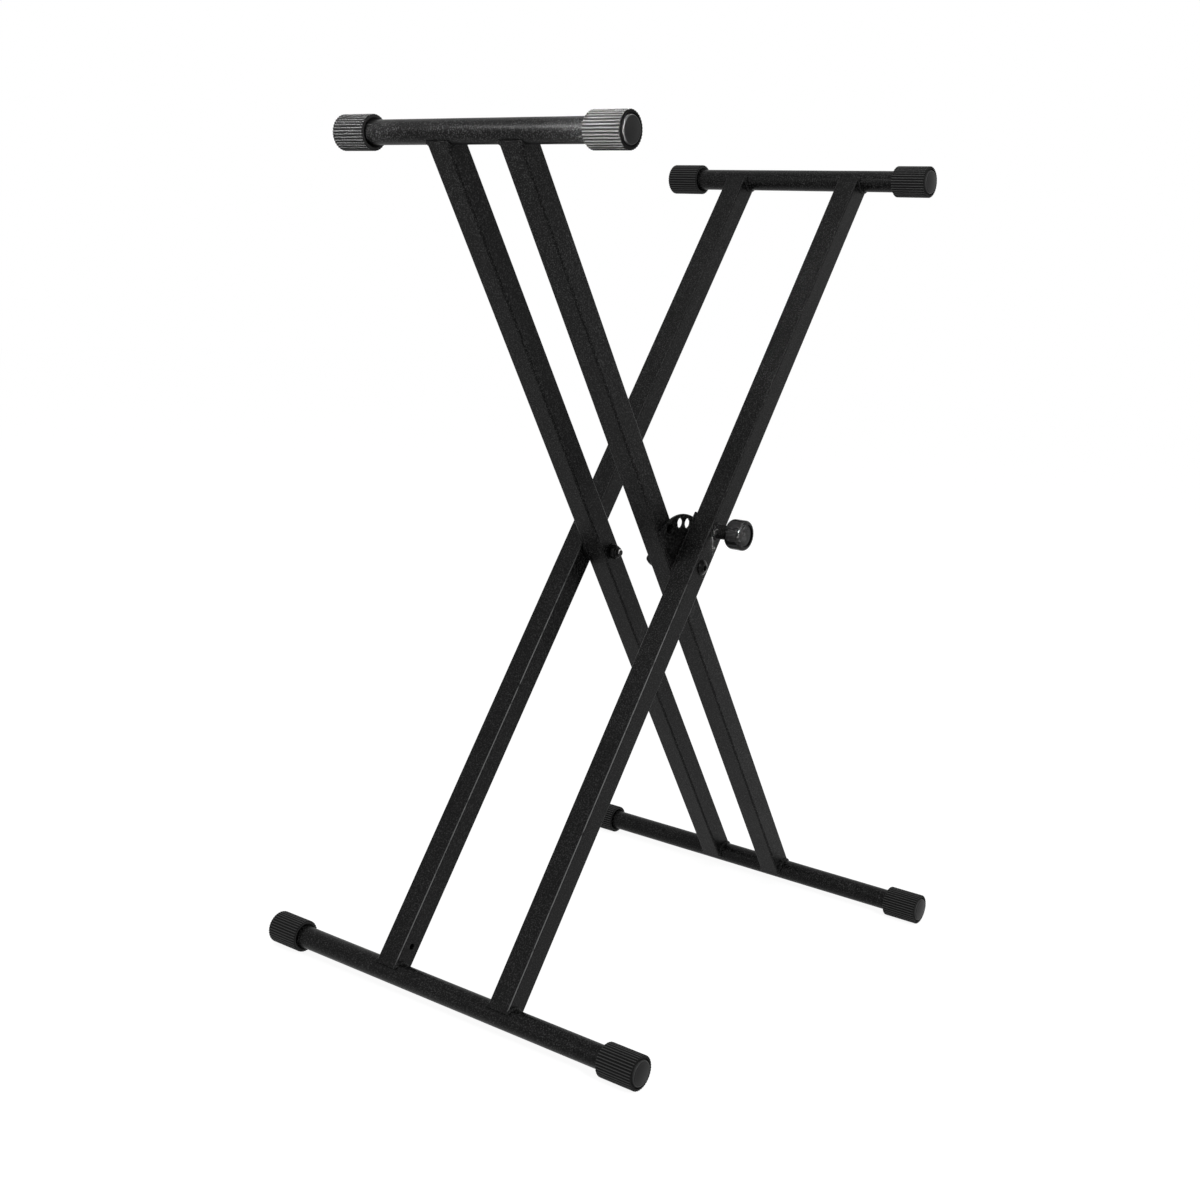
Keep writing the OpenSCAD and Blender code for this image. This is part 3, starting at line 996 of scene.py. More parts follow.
@dataclass(frozen=True)
class EndCap:
    """A fluted rubber cap with a serrated rim, a sunk ring and a crowned disc."""

    diameter: float = 33.5
    length: float = 41.5
    bore_r: float = 11.55
    end_t: float = SIZES.cap_end_t
    disc_r: float = 12.4
    disc_rise: float = 2.5
    shoulder_r: float = 1.6
    crown: float = 0.7
    crown_rows: int = 9
    ring_w: float = 1.7
    ring_depth: float = 1.2
    ribs: int = 36
    groove_depth: float = 0.8
    groove_half: float = 1.1
    groove_power: float = 2.2
    mouth_depth: float = 3.0
    mouth_w: float = 2.2
    edge_r: float = 0.6
    soft_r: float = 0.35
    wall_steps: tuple[float, ...] = (0.0, 0.3, 0.52, 0.68, 0.8, 0.9, 1.0, 1.2)
    mouth_shade: float = 0.7
    disc_shade: float = 0.45
    wall_painted_highlight: float = 1.15
    shade_rise: float = 0.7
    wall_span: tuple[float, float, float] = (-0.2, 0.02, 0.05)

    def profile(self) -> Points:
        """Half section from the bore's floor, round the mouth and the outside, to the disc's crown.

        The crown falls from its middle by crown (r / the flat's radius) squared.

        Returns:
            The section, as distance from the axis and height.
        """
        r, rim, soft = self.diameter / 2.0, self.length - self.disc_rise, self.soft_r
        ring_r, flat_r = self.disc_r + self.ring_w, self.disc_r - self.shoulder_r
        shares = np.linspace(CROWN_START, 0.0, self.crown_rows)
        crown = [(flat_r * f, self.length - self.crown * f * f, 0.0) for f in shares]
        return filleted([
            (0.0, self.length - self.end_t, 0.0), (self.bore_r, self.length - self.end_t, soft),
            (self.bore_r, self.mouth_depth, soft), (self.bore_r + self.mouth_w, 0.0, soft),
            (r, 0.0, self.edge_r), (r, rim, self.edge_r), (ring_r, rim, soft),
            (ring_r, rim - self.ring_depth, soft), (self.disc_r, rim - self.ring_depth, soft),
            (self.disc_r, self.length - self.crown, self.shoulder_r), *crown,
        ], steps=7)

    def angles(self) -> Points:
        """Angles of the columns: close together over each groove's walls, wide apart on the crests.

        Returns:
            The angles, the same pattern at every rib.
        """
        wall = np.array(self.wall_steps) * self.groove_half
        arc = TAU * self.diameter / 2.0 / self.ribs
        one = np.concatenate([wall, [arc / 2.0], arc - wall[:0:-1]]) / arc
        return TAU / self.ribs * (one[None, :] + np.arange(self.ribs)[:, None] + 0.5).reshape(-1)

    def depth(self, a: Points) -> Points:
        """Depth of the grooves at an angle round the cap.

        It is depth (1 - |s / half width| to a power), s being the way round from a groove's middle.

        Args:
            a: Angles round the cap.

        Returns:
            The depths, in millimetres.
        """
        pitch = TAU / self.ribs
        s = (np.mod(a, pitch) - pitch / 2.0) * self.diameter / 2.0
        share = 1.0 - np.abs(s / self.groove_half) ** self.groove_power
        return self.groove_depth * np.clip(share, 0.0, 1.0)

    def surface(self) -> Surface:
        """The whole cap along z, its mouth at z = 0.

        Returns:
            The surface. Its crest value is 1 on the ribs, and 0 at the bottom of a
            groove and on the face round the disc, which paints shade there. Over the disc's
            shoulder it rises from disc_shade to wall_painted_highlight, which it keeps on the
            disc's wall as a painted highlight.
        """
        profile = self.profile()
        floor = self.diameter / 2.0 - self.groove_depth
        grid = turned(
            profile, self.angles(), lambda r, z, a: np.minimum(r, self.diameter / 2.0 - self.depth(a))
        )
        reach = np.hypot(grid[..., 0], grid[..., 1])
        # Values fall to 0 towards the bottom of each groove: painted shade in the grooves
        crest = np.clip((reach - floor) / self.groove_depth, 0.0, 1.0)
        r, z = profile[:, :1], profile[:, 1:]
        rise = self.disc_r - self.shoulder_r + self.shade_rise
        stops = [rise, *(self.disc_r + step for step in self.wall_span)]
        # The disc's wall takes a value above the ribs', a painted highlight, and the face round the disc
        # takes 0, painted shade
        disc = np.interp(r, stops, [self.disc_shade, self.wall_painted_highlight, self.wall_painted_highlight, 0.0])
        plain = np.where(z > self.length / 2.0, disc, self.mouth_shade)
        return Surface.woven(grid, crest=np.where(r < floor, plain, crest))


@dataclass(frozen=True)
class EndCaps:
    """The eight caps: four that the keyboard rests on and four feet."""

    cap: EndCap = EndCap()

    def build(self) -> None:
        """Puts a cap on both ends of every bar, a rib of each straight down."""
        plain = self.cap.surface()
        for crossed in (OUTER, INNER):
            for place, width, z in crossed.bars():
                centre = crossed.place(np.array([0.0, 0.0, z]))
                mouth = width / 2.0 - self.cap.length
                for side in Side:
                    node = f"{crossed.prefix}_{place}_cap_{side.name.lower()}"
                    cap = plain.mapped(lambda p, s=side, c=centre, m=mouth: s.seat(p, m) + c)
                    install(cap, f"{node}_fluted", crossed.body, Slot.CAP_RUBBER, node)


@dataclass(frozen=True)
class StampedPlate:
    """A flat plate with rounded edges and round holes, square to the bars."""

    outline: Points
    holes: tuple[tuple[float, float, float], ...]
    thickness: float = SIZES.plate_t
    edge_r: float = 0.5
    edge_steps: int = 4
    hole_points: int = 56

    def loops(self) -> list[Points]:
        """The outline and left-handed holes, so that each has the metal on its left.

        Returns:
            The loops, the outline first.
        """
        a = -even_angles(self.hole_points)
        rounds = [np.stack([x + r * np.cos(a), z + r * np.sin(a)], axis=-1) for x, z, r in self.holes]
        return [self.outline, *rounds]

    @staticmethod
    def inset(loop: Points, by: float) -> Points:
        """Moves a loop into the metal: along the sum of its edges' normals over 1 + their product.

        Args:
            loop: Loop to move.
            by: Distance that its edges move.

        Returns:
            The moved loop.
        """
        edge = unit(np.roll(loop, -1, axis=0) - loop)
        normal = np.stack([edge[:, 1], -edge[:, 0]], axis=-1)
        last = np.roll(normal, 1, axis=0)
        return loop - by * (normal + last) / (1.0 + (normal * last).sum(axis=1, keepdims=True))

    def rim(self, loop: Points) -> Surface:
        """Carries a quarter round, the plate's edge and a quarter round along a loop.

        Args:
            loop: Outline or hole.

        Returns:
            The plate's edge along it.
        """
        turn = np.linspace(0.0, math.pi / 2.0, self.edge_steps + 1)
        depth = self.edge_r * (1.0 - np.sin(turn))
        height = self.edge_r * (1.0 - np.cos(turn))
        depth, height = np.r_[depth, depth[::-1]], np.r_[height, self.thickness - height[::-1]]
        flat = np.stack([self.inset(loop, by) for by in depth])
        tall = np.broadcast_to(height[:, None, None], (*flat.shape[:2], 1))
        return Surface.woven(np.concatenate([flat, tall], axis=-1))

    def faces(self) -> list[Surface]:
        """Both flat faces, triangulated between the inset loops, without the holes.

        Returns:
            The lower and the upper face.
        """
        loops = [self.inset(loop, self.edge_r) for loop in self.loops()]
        starts = np.cumsum([0] + [len(loop) for loop in loops])
        edges = np.concatenate([
            np.stack([np.arange(len(loop)), np.roll(np.arange(len(loop)), -1)], axis=-1) + start
            for loop, start in zip(loops, starts)
        ])
        spots = [Vector(spot) for spot in np.concatenate(loops)]
        corners, _, triangles, *_ = delaunay_2d_cdt(spots, edges.tolist(), [], 1, SAME_POINT)
        flat, triangles = np.array(corners, dtype=float), np.array(triangles)
        middle = flat[triangles].mean(axis=1)
        solid = np.all([np.hypot(middle[:, 0] - x, middle[:, 1] - z) > r for x, z, r in self.holes], axis=0)
        none, level = np.empty((0, 4), dtype=int), np.ones(len(flat))
        return [
            Surface(np.column_stack([flat, height * level]), none, triangles[solid], level)
            for height in (0.0, self.thickness)
        ]

    def surface(self, side: Side, out: float) -> Surface:
        """The whole plate.

        Args:
            side: End of the pivot line that it is at.
            out: Distance of its inner face from the middle of the stand.

        Returns:
            The plate in the axes of a crossed frame.
        """
        whole = Surface.joined([*map(self.rim, self.loops()), *self.faces()])
        return whole.mapped(lambda p: np.stack([p[:, 0], side.value * (out + p[:, 2]), p[:, 1]], axis=-1))


@dataclass(frozen=True)
class LockPlates:
    """The plate of lock holes on the inner frame, and the guide plate on the outer one."""

    lock_r: float = SIZES.lock_r
    hole_r: float = 5.3
    rim_r: float = 52.0
    edge: float = 11.5
    first: float = 31.0
    step: float = 18.3
    count: int = 5
    folded: float = 5.5
    past: float = 16.0
    pivot_r: float = SIZES.bore_r
    pin_r: float = 5.1
    lock_face: float = SIZES.gap_face
    guide_face: float = SIZES.guide_face
    half_w: float = SIZES.tube / 2.0
    guide_top: float = 56.0
    guide_bottom: float = -20.0
    corner_r: float = 0.6
    seam: WeldBead = WeldBead(0.95, 1.5, 0.2, 0.08)
    seam_rows: int = 120
    lock_seam: tuple[float, float] = (4.0, 46.0)
    lock_seam_out: float = 0.4
    lock_seam_rise: tuple[float, float, float] = (-0.4, -1.0, 0.0)
    lock_seed: int = 31
    guide_seam_out: float = 1.6
    guide_seam_inset: float = 2.5
    guide_seam_slope: float = 0.6
    guide_seeds: tuple[int, int] = (41, 42)
    rim_points: int = 110
    hub_points: int = 40

    def lock_outline(self) -> Points:
        """Fan: the rim's arc x = r sin a, z = r cos a, then an arc round the pivot the same way.

        Returns:
            The outline.
        """
        last = math.radians(self.first + (self.count - 1) * self.step + self.past)
        rim = np.linspace(-math.asin(self.edge / self.rim_r), last, self.rim_points)
        hub = np.linspace(last, 1.5 * math.pi, self.hub_points)
        arcs = [
            r * np.stack([np.sin(a), np.cos(a)], axis=-1) for r, a in ((self.rim_r, rim), (self.edge, hub))
        ]
        return np.concatenate(arcs)[::-1]

    def lock_holes(self) -> tuple[tuple[float, float, float], ...]:
        """The pivot's hole, the row of lock holes and the hole that holds the folded stand.

        Returns:
            X, z and radius of each hole.
        """
        degrees = [*(self.first + i * self.step for i in range(self.count)), self.folded]
        turns = [math.radians(angle) for angle in degrees]
        row = [(self.lock_r * math.sin(a), self.lock_r * math.cos(a), self.hole_r) for a in turns]
        return ((0.0, 0.0, self.pivot_r), *row)

    def straight_bead(
        self, start: Sequence[float], end: Sequence[float], rising: Sequence[float], seed: int
    ) -> Surface:
        """A seam along a straight line.

        Args:
            start: One end.
            end: The other end.
            rising: Direction out of the joint.
            seed: Seed of the bead.

        Returns:
            The bead.
        """
        ends = np.array([start, end], dtype=float)
        t = np.linspace(0.0, 1.0, self.seam_rows)[:, None]
        up = np.broadcast_to(unit(np.asarray(rising, dtype=float)), (len(t), 3))
        across = np.cross(unit(ends[1] - ends[0]), up)
        return self.seam.along(ends[0] * (1.0 - t) + ends[1] * t, up, across, seed=seed)

    def build(self) -> None:
        """Makes both plates and the seams that hold them to their legs."""
        lock = StampedPlate(self.lock_outline(), self.lock_holes()).surface(Side.FRONT, self.lock_face)
        lock = lock.mapped(INNER.place)
        install(lock, "lock_plate_stamped", INNER.body, Slot.POWDER_COAT, "lock_plate")
        w, low, high = self.half_w, self.guide_bottom, self.guide_top
        corners = [(x, z, self.corner_r) for x, z in ((-w, low), (w, low), (w, high), (-w, high))]
        guide = StampedPlate(
            filleted(corners), ((0.0, 0.0, self.pivot_r), (0.0, self.lock_r, self.pin_r))
        ).surface(Side.FRONT, self.guide_face)
        guide = guide.mapped(OUTER.place)
        install(guide, "guide_plate_stamped", OUTER.body, Slot.POWDER_COAT, "guide_plate")
        x, y = -self.edge, -self.lock_face - self.lock_seam_out
        start, end = ((x, y, z) for z in self.lock_seam)
        plate_seam = self.straight_bead(start, end, self.lock_seam_rise, self.lock_seed)
        install(plate_seam.mapped(INNER.place), "lock_plate_weld", INNER.body, Slot.POWDER_COAT)
        y, reach = -self.guide_face - self.guide_seam_out, w - self.guide_seam_inset
        seams = [
            self.straight_bead((-reach, y, z), (reach, y, z), (0.0, 1.0, way * self.guide_seam_slope), seed)
            for z, way, seed in zip((low, high), (-1, 1), self.guide_seeds)
        ]
        joined = Surface.joined(seams).mapped(OUTER.place)
        install(joined, "guide_plate_welds", OUTER.body, Slot.POWDER_COAT)


def ring(bore_r: float, outer_r: float, height: float, soft: float, sectors: int = 80) -> Surface:
    """Ring along z with rounded edges: a rectangle carried round the axis.

    Args:
        bore_r: Radius of the bore.
        outer_r: Outside radius.
        height: Height.
        soft: Radius of the edges.
        sectors: Number of columns.

    Returns:
        The ring.
    """
    corners = [(bore_r, 0.0, soft), (outer_r, 0.0, soft), (outer_r, height, soft), (bore_r, height, soft)]
    return Surface.woven(turned(filleted(corners), even_angles(sectors)), closed_rows=True)


def hexagon_nut(
    bore_r: float, flats: float, height: float, collar: Sequence[tuple[float, float, float]] = ()
) -> Surface:
    """Nut along z: a profile carried round the axis and cut to its hexagon, r = min(r, flat's reach).

    The hexagon's edges are bevelled by 30 degrees at both faces. Two columns stand CORNER_GAP
    radians from each corner, so that the corners stay crisp.

    Args:
        bore_r: Radius of the bore.
        flats: Width across flats.
        height: Height of the hexagon.
        collar: Corners of what stands on the hexagon, from its top face to the bore.

    Returns:
        The nut.
    """
    corner = flats / 2.0 / math.cos(HALF_SIDE)
    t = np.linspace(0.0, 1.0, BEVEL_ROWS)
    bevel = (corner - flats / 2.0) * math.tan(HALF_SIDE)
    lower = np.stack([flats / 2.0 + (corner - flats / 2.0) * t, bevel * t], axis=-1)
    upper = lower[::-1] * [1.0, -1.0] + [0.0, height]
    mouth = collar[-1][1] - COLLAR_LIP if collar else height
    rest = filleted([(flats / 2.0, height, 0.0), *collar, (bore_r, mouth, 0.0)])
    profile = np.concatenate([[[bore_r, 0.0]], lower, upper, rest[1:]])
    corners = even_angles(6)
    angles = np.sort(np.concatenate([
        even_angles(NUT_COLUMNS), corners + CORNER_GAP, corners - CORNER_GAP,
    ]))
    grid = turned(distinct(profile), angles, lambda r, z, a: np.minimum(r, hexagon_reach(a, flats)))
    return Surface.woven(grid, closed_rows=True)


@dataclass(frozen=True)
class Plunger:
    """Sleeve, pin, spring and knob on the outer front leg, the pin drawn back as in the photo."""

    body: str = "lock_plunger"
    out: float = SIZES.outer_face
    up: float = SIZES.lock_r
    pin_r: float = 5.0
    pin_tip: float = -27.0
    shoulder: float = 7.0
    rod_r: float = 3.0
    rod_end: float = 30.2
    sleeve_r: float = 7.5
    sleeve_bore_r: float = 5.1
    sleeve_neck_r: float = 3.1
    sleeve_len: float = 17.5
    spring_end: float = 15.0
    knob_back: float = 16.5
    knob_r: float = 15.8
    knob_len: float = 19.5
    back_r: float = 5.0
    front_r: float = 3.2
    skirt_r: float = 8.1
    skirt_depth: float = 7.3
    pocket_r: float = 6.57
    pocket_floor: float = 9.7
    hub_r: float = 3.05
    cover_r: float = 11.5
    cover_floor: float = 16.7
    cover_t: float = 1.6
    cover_crown: float = 0.9
    cover_gap: float = 0.05
    nut_flats: float = 10.0
    nut_h: float = 4.0
    spring_r: float = 4.05
    wire_r: float = 0.4
    spring_turns: int = 5
    spring_gap: float = 0.3
    edge_r: float = 0.3
    inner_edge_r: float = 0.2
    seam_edge_r: float = 0.35
    rod_edge_r: float = 0.4
    sleeve_edge_r: float = 0.6
    pin_bevel: float = 1.0
    foot_bead: WeldBead = WeldBead(1.75, 1.6, 0.22, 0.08)
    foot_points: int = 220
    sleeve_sectors: int = 80
    pin_sectors: int = 64
    knob_sectors: int = 120
    cover_sectors: int = 96
    crown_rows: int = 12
    coil_steps: int = 48
    wire_sides: int = 12

    def placed(self, surface: Surface, rise: float) -> Surface:
        """Lays turned work on the plunger's axis, its z = 0 at the rise from the leg's outer face."""
        return surface.mapped(lambda p: OUTER.place(Side.FRONT.seat(p, self.out + rise, self.up)))

    def sleeve(self) -> Surface:
        """Sleeve with a necked end.

        Returns:
            The sleeve along z.
        """
        profile = filleted([
            (self.sleeve_bore_r, 0.0, 0.0), (self.sleeve_r, 0.0, 0.0),
            (self.sleeve_r, self.sleeve_len, self.sleeve_edge_r),
            (self.sleeve_neck_r, self.sleeve_len, self.edge_r), (self.sleeve_neck_r, self.spring_end, 0.0),
            (self.sleeve_bore_r, self.spring_end, self.inner_edge_r),
        ])
        return Surface.woven(turned(profile, even_angles(self.sleeve_sectors)), closed_rows=True)

    def foot_weld(self) -> Surface:
        """Bead round the sleeve's foot: a circle of the sleeve's radius.

        Returns:
            The bead.
        """
        a = even_angles(self.foot_points)
        rising = np.stack([np.cos(a), np.sin(a), np.zeros_like(a)], axis=-1)
        across = np.broadcast_to([0.0, 0.0, 1.0], rising.shape)
        return self.foot_bead.along(self.sleeve_r * rising, rising, across, closed=True, seed=51)

    def pin(self) -> Surface:
        """Pin with a bevelled tip and the thinner rod behind its shoulder.

        Returns:
            The pin along z.
        """
        profile = filleted([
            (0.0, self.pin_tip, 0.0), (self.pin_r - self.pin_bevel, self.pin_tip, self.edge_r),
            (self.pin_r, self.pin_tip + self.pin_bevel, self.edge_r),
            (self.pin_r, self.shoulder, self.edge_r), (self.rod_r, self.shoulder, self.inner_edge_r),
            (self.rod_r, self.rod_end, self.rod_edge_r), (0.0, self.rod_end, 0.0),
        ])
        return Surface.woven(turned(profile, even_angles(self.pin_sectors)))

    def spring(self) -> Surface:
        """Coil: centres at r cos t, r sin t and an even climb, with a round section whose ends close.

        Returns:
            The spring along z.
        """
        low = self.shoulder + self.spring_gap + self.wire_r
        high = self.spring_end - self.spring_gap - self.wire_r
        t = np.linspace(0.0, 1.0, self.coil_steps * self.spring_turns + 1)
        a = TAU * self.spring_turns * t
        rising = np.stack([np.cos(a), np.sin(a), np.zeros_like(a)], axis=-1)
        centres = self.spring_r * rising + np.stack([0 * t, 0 * t, low + (high - low) * t], axis=-1)
        b = even_angles(self.wire_sides)
        radius = np.full((len(t), len(b)), self.wire_r)
        radius[[0, -1]] = 0.0
        upward = np.array([0.0, 0.0, 1.0])
        section = np.cos(b)[None, :, None] * rising[:, None] + np.sin(b)[None, :, None] * upward
        return Surface.woven(centres[:, None] + radius[..., None] * section)

    def knob(self) -> Surface:
        """Hollow knob: skirt over the sleeve, web, pocket for the nut and seat for the cover.

        Returns:
            The knob along z, its back at z = 0.
        """
        seat_r = self.cover_r + self.cover_gap
        profile = filleted([
            (self.skirt_r, 0.0, self.edge_r), (self.knob_r, 0.0, self.back_r),
            (self.knob_r, self.knob_len, self.front_r), (seat_r, self.knob_len, self.seam_edge_r),
            (seat_r, self.cover_floor, 0.0), (self.pocket_r, self.cover_floor, self.inner_edge_r),
            (self.pocket_r, self.pocket_floor, 0.0), (self.hub_r, self.pocket_floor, 0.0),
            (self.hub_r, self.skirt_depth, 0.0), (self.skirt_r, self.skirt_depth, self.inner_edge_r),
        ], steps=9)
        return Surface.woven(turned(profile, even_angles(self.knob_sectors)), closed_rows=True)

    def cover(self) -> Surface:
        """Cover disc whose crown rises by a parabola, crown (1 - (r / radius) squared).

        Returns:
            The cover along z, its back at z = 0.
        """
        shares = np.linspace(CROWN_START, 0.0, self.crown_rows)
        crown = [(self.cover_r * f, self.cover_t + self.cover_crown * (1.0 - f * f), 0.0) for f in shares]
        profile = filleted([
            (0.0, 0.0, 0.0), (self.cover_r, 0.0, self.inner_edge_r),
            (self.cover_r, self.cover_t, self.seam_edge_r), *crown,
        ])
        return Surface.woven(turned(profile, even_angles(self.cover_sectors)))

    def build(self) -> None:
        """Makes the plunger's pieces, those that slide on the plunger's own body."""
        pocket, lid = self.knob_back + self.pocket_floor, self.knob_back + self.cover_floor
        nut = hexagon_nut(self.hub_r, self.nut_flats, self.nut_h)
        welded = Surface.joined([self.sleeve(), self.foot_weld()])
        for shape, rise, name, body, slot, *node in (
            (welded, 0.0, "sleeve_welded", OUTER.body, Slot.POWDER_COAT, "plunger_sleeve"),
            (self.spring(), 0.0, "spring_coil", OUTER.body, Slot.ZINC_STEEL, "lock_spring"),
            (self.pin(), 0.0, "pin_turned", self.body, Slot.ZINC_STEEL, "lock_pin"),
            (self.knob(), self.knob_back, "knob_moulded", self.body, Slot.KNOB_PLASTIC, "lock_knob"),
            (nut, pocket, "knob_nut_hex", self.body, Slot.ZINC_STEEL, "knob_nut"),
            (self.cover(), lid, "knob_cover_disc", self.body, Slot.KNOB_PLASTIC, "knob_cover"),
        ):
            install(self.placed(shape, rise), name, body, slot, *node)


@dataclass(frozen=True)
class PivotBolt:
    """Domed bolt with a hexagon socket and a threaded end."""

    radius: float = 4.0
    length: float = 69.0
    head_r: float = 8.0
    head_h: float = 4.4
    head_rim: float = 1.0
    socket_flats: float = 5.0
    socket_depth: float = 2.6
    thread_start: float = -50.0
    pitch: float = 1.25
    thread_depth: float = 0.6
    thread_steep: float = 1.35
    thread_flat: float = 0.15
    chamfer: float = 0.9
    dome_span: tuple[float, float] = (0.44, 0.965)
    dome_rows: int = 12
    edge_r: float = 0.3
    floor_share: float = 0.97
    floor_soft: float = 0.08
    lip_shares: tuple[float, float] = (1.02, 1.12)
    lip_drops: tuple[float, float, float] = (0.55, 0.45, 0.12)
    rows_per_turn: int = 10
    tip_bevel: tuple[float, float] = (0.3, 0.25)
    worn: tuple[float, float] = (0.1, 0.95)
    sectors: int = 96

    def surface(self) -> Surface:
        """The bolt along z, its head's seat at z = 0.

        Rows run from the socket's floor over the dome and down the shank. In the socket the distance
        from the axis is that of a hexagon. On the thread it is the shank's radius less a triangle
        wave of z / pitch - a / turn, which is cut flat at both ends and fades in at the start.

        Returns:
            The surface. Its crest value is 0 on the chamfer of the threaded end, where
            the plating wears off, and 1 elsewhere.
        """
        corner = self.socket_flats / 2.0 / math.cos(HALF_SIDE)
        floor = self.head_h - self.socket_depth
        rise = self.head_h - self.head_rim
        shares = np.linspace(*self.dome_span, self.dome_rows)
        dome = [(self.head_r * f, self.head_rim + rise * (1.0 - f * f), 0.0) for f in shares]
        lip = dome[0][1]
        near, far = (corner * share for share in self.lip_shares)
        deep, middle, shallow = (lip - drop for drop in self.lip_drops)
        socket = np.array([
            [0.0, floor], [corner * self.floor_share, floor], [corner, floor + self.floor_soft],
            [corner, deep], [near, middle],
        ])
        head = filleted([
            (far, shallow, 0.0), *dome, (self.head_r, self.head_rim, self.edge_r),
            (self.head_r, 0.0, self.edge_r), (self.radius, 0.0, 0.0),
        ])
        step = self.pitch / self.rows_per_turn
        turns = np.arange(self.thread_start, -self.length + self.chamfer, -step)
        thread = np.stack([np.full_like(turns, self.radius), turns], axis=-1)
        root = self.radius - self.thread_depth
        point = np.array([
            [self.radius, -self.length + self.chamfer], [root, -self.length + self.tip_bevel[1]],
            [root - self.tip_bevel[0], -self.length], [0.0, -self.length],
        ])
        profile = np.concatenate([socket, head, thread, point])
        hexed = (np.arange(len(profile)) < len(socket))[:, None]

        def cut(r: Points, z: Points, a: Points) -> Points:
            """Hexagon in the socket, thread on the shank.

            Args:
                r: Distances from the axis.
                z: Heights.
                a: Angles round the axis.

            Returns:
                The new distances.
            """
            phase = np.mod(z / self.pitch - a / TAU, 1.0)
            wave = 1.0 - np.abs(2.0 * phase - 1.0)
            fade = np.clip((self.thread_start - z) / self.pitch, 0.0, 1.0)
            end = np.clip((z + self.length) / self.chamfer, 0.0, 1.0)
            groove = np.clip(self.thread_steep * wave - self.thread_flat, 0.0, 1.0)
            threaded = r - self.thread_depth * groove * fade * end
            return np.where(hexed, r * hexagon_reach(a, self.socket_flats) / corner, threaded)

        above_end = profile[:, 1:] + self.length
        kept = np.where((above_end > self.worn[0]) & (above_end < self.worn[1]), 0.0, 1.0)
        crest = np.broadcast_to(kept, (len(profile), self.sectors))
        return Surface.woven(turned(profile, even_angles(self.sectors), cut), crest=crest)


@dataclass(frozen=True)
class Pivots:
    """Bolts, lock nuts and washers on which the frames turn, front and rear."""

    bolt: PivotBolt = PivotBolt()
    outer_face: float = SIZES.outer_face
    inner_face: float = SIZES.inner_face
    gap_face: float = SIZES.gap_face
    plate_t: float = SIZES.plate_t
    gap: float = SIZES.gap
    bore_r: float = SIZES.bore_r
    washer_r: float = 8.5
    washer_t: float = 1.6
    friction_r: float = 11.0
    friction_t: float = 1.5
    nut_flats: float = 13.0
    nut_h: float = 6.0
    collar_r: float = 5.75
    collar_top: float = 8.0
    collar_edge_r: float = 0.7
    collar_mouth: float = 0.5
    edge_r: float = 0.3
    inner_edge_r: float = 0.2
    nut_gap: float = 0.05

    def pair(self, shape: Surface, out: float, name: str, slot: Slot, node: str) -> None:
        """Puts the same piece at both ends of the pivot line.

        Args:
            shape: Turned shape along z.
            out: Distance of its z = 0 from the middle of the stand.
            name: Name of the piece.
            slot: Its material slot.
            node: CAD node that it replaces.
        """
        both = [shape.mapped(lambda p, s=side: OUTER.place(s.seat(p, out))) for side in Side]
        install(Surface.joined(both), name, OUTER.body, slot, node)

    def build(self) -> None:
        """Makes the pivots' pieces, all on the outer frame, which carries the bolts."""
        bolt = self.bolt.surface()
        self.pair(bolt, self.outer_face, "pivot_bolts_threaded", Slot.BLACK_STEEL, "pivot_bolts")
        washer = ring(self.bore_r, self.washer_r, self.washer_t, self.edge_r)
        seat = self.inner_face - self.washer_t
        self.pair(washer, seat, "nut_washers_pressed", Slot.BLACK_STEEL, "nut_washers")
        collar = [
            (self.collar_r, self.nut_h, 0.0), (self.collar_r, self.collar_top, self.collar_edge_r),
            (self.bolt.radius + self.collar_mouth, self.collar_top, self.inner_edge_r),
        ]
        nut = hexagon_nut(self.bolt.radius + self.nut_gap, self.nut_flats, self.nut_h, collar)
        turned_in = nut.mapped(lambda p: p * [1.0, 1.0, -1.0])
        self.pair(turned_in, seat, "pivot_nuts_collared", Slot.BLACK_STEEL, "pivot_nuts")
        past_plate = self.gap_face + self.plate_t
        for side, start, height, name, node in (
            (Side.FRONT, past_plate, self.friction_t, "friction_washer_ring", "friction_washer"),
            (Side.REAR, self.gap_face, self.gap, "rear_spacer_ring", "rear_spacer"),
        ):
            shape = ring(self.bore_r, self.friction_r, height, self.edge_r)
            placed = shape.mapped(lambda p, s=side, o=start: OUTER.place(s.seat(p, o)))
            install(placed, name, OUTER.body, Slot.WASHER_PLASTIC, node)


@dataclass(frozen=True)
class Camera:
    """Camera at the photograph's viewing angle."""

    place: tuple[float, float, float] = (-1.39867, -1.00927, 0.71429)
    yaw: float = math.radians(53.057)
    pitch: float = math.radians(11.111)
    roll: float = math.radians(3.184)
    lens: float = 49.215
    sensor: float = 36.0
    clip: tuple[float, float] = (0.01, 100.0)

    def build(self) -> None:
        """Adds the camera, looking along the yaw from +Y towards +X and down by the pitch."""
        ahead = Vector((
            math.sin(self.yaw) * math.cos(self.pitch), math.cos(self.yaw) * math.cos(self.pitch),
            -math.sin(self.pitch),
        ))
        right = ahead.cross(Vector((0.0, 0.0, 1.0))).normalized()
        up = right.cross(ahead)
        across = math.cos(self.roll) * right + math.sin(self.roll) * up
        above = math.cos(self.roll) * up - math.sin(self.roll) * right
        data = bpy.data.cameras.new("photo_camera")
        data.lens, data.sensor_width, data.sensor_height = self.lens, self.sensor, self.sensor
        data.clip_start, data.clip_end = self.clip
        camera = bpy.data.objects.new("photo_camera", data)
        turn = Matrix((across, above, -ahead)).transposed()
        camera.matrix_world = Matrix.Translation(self.place) @ turn.to_4x4()
        bpy.context.scene.collection.objects.link(camera)
        bpy.context.scene.camera = camera


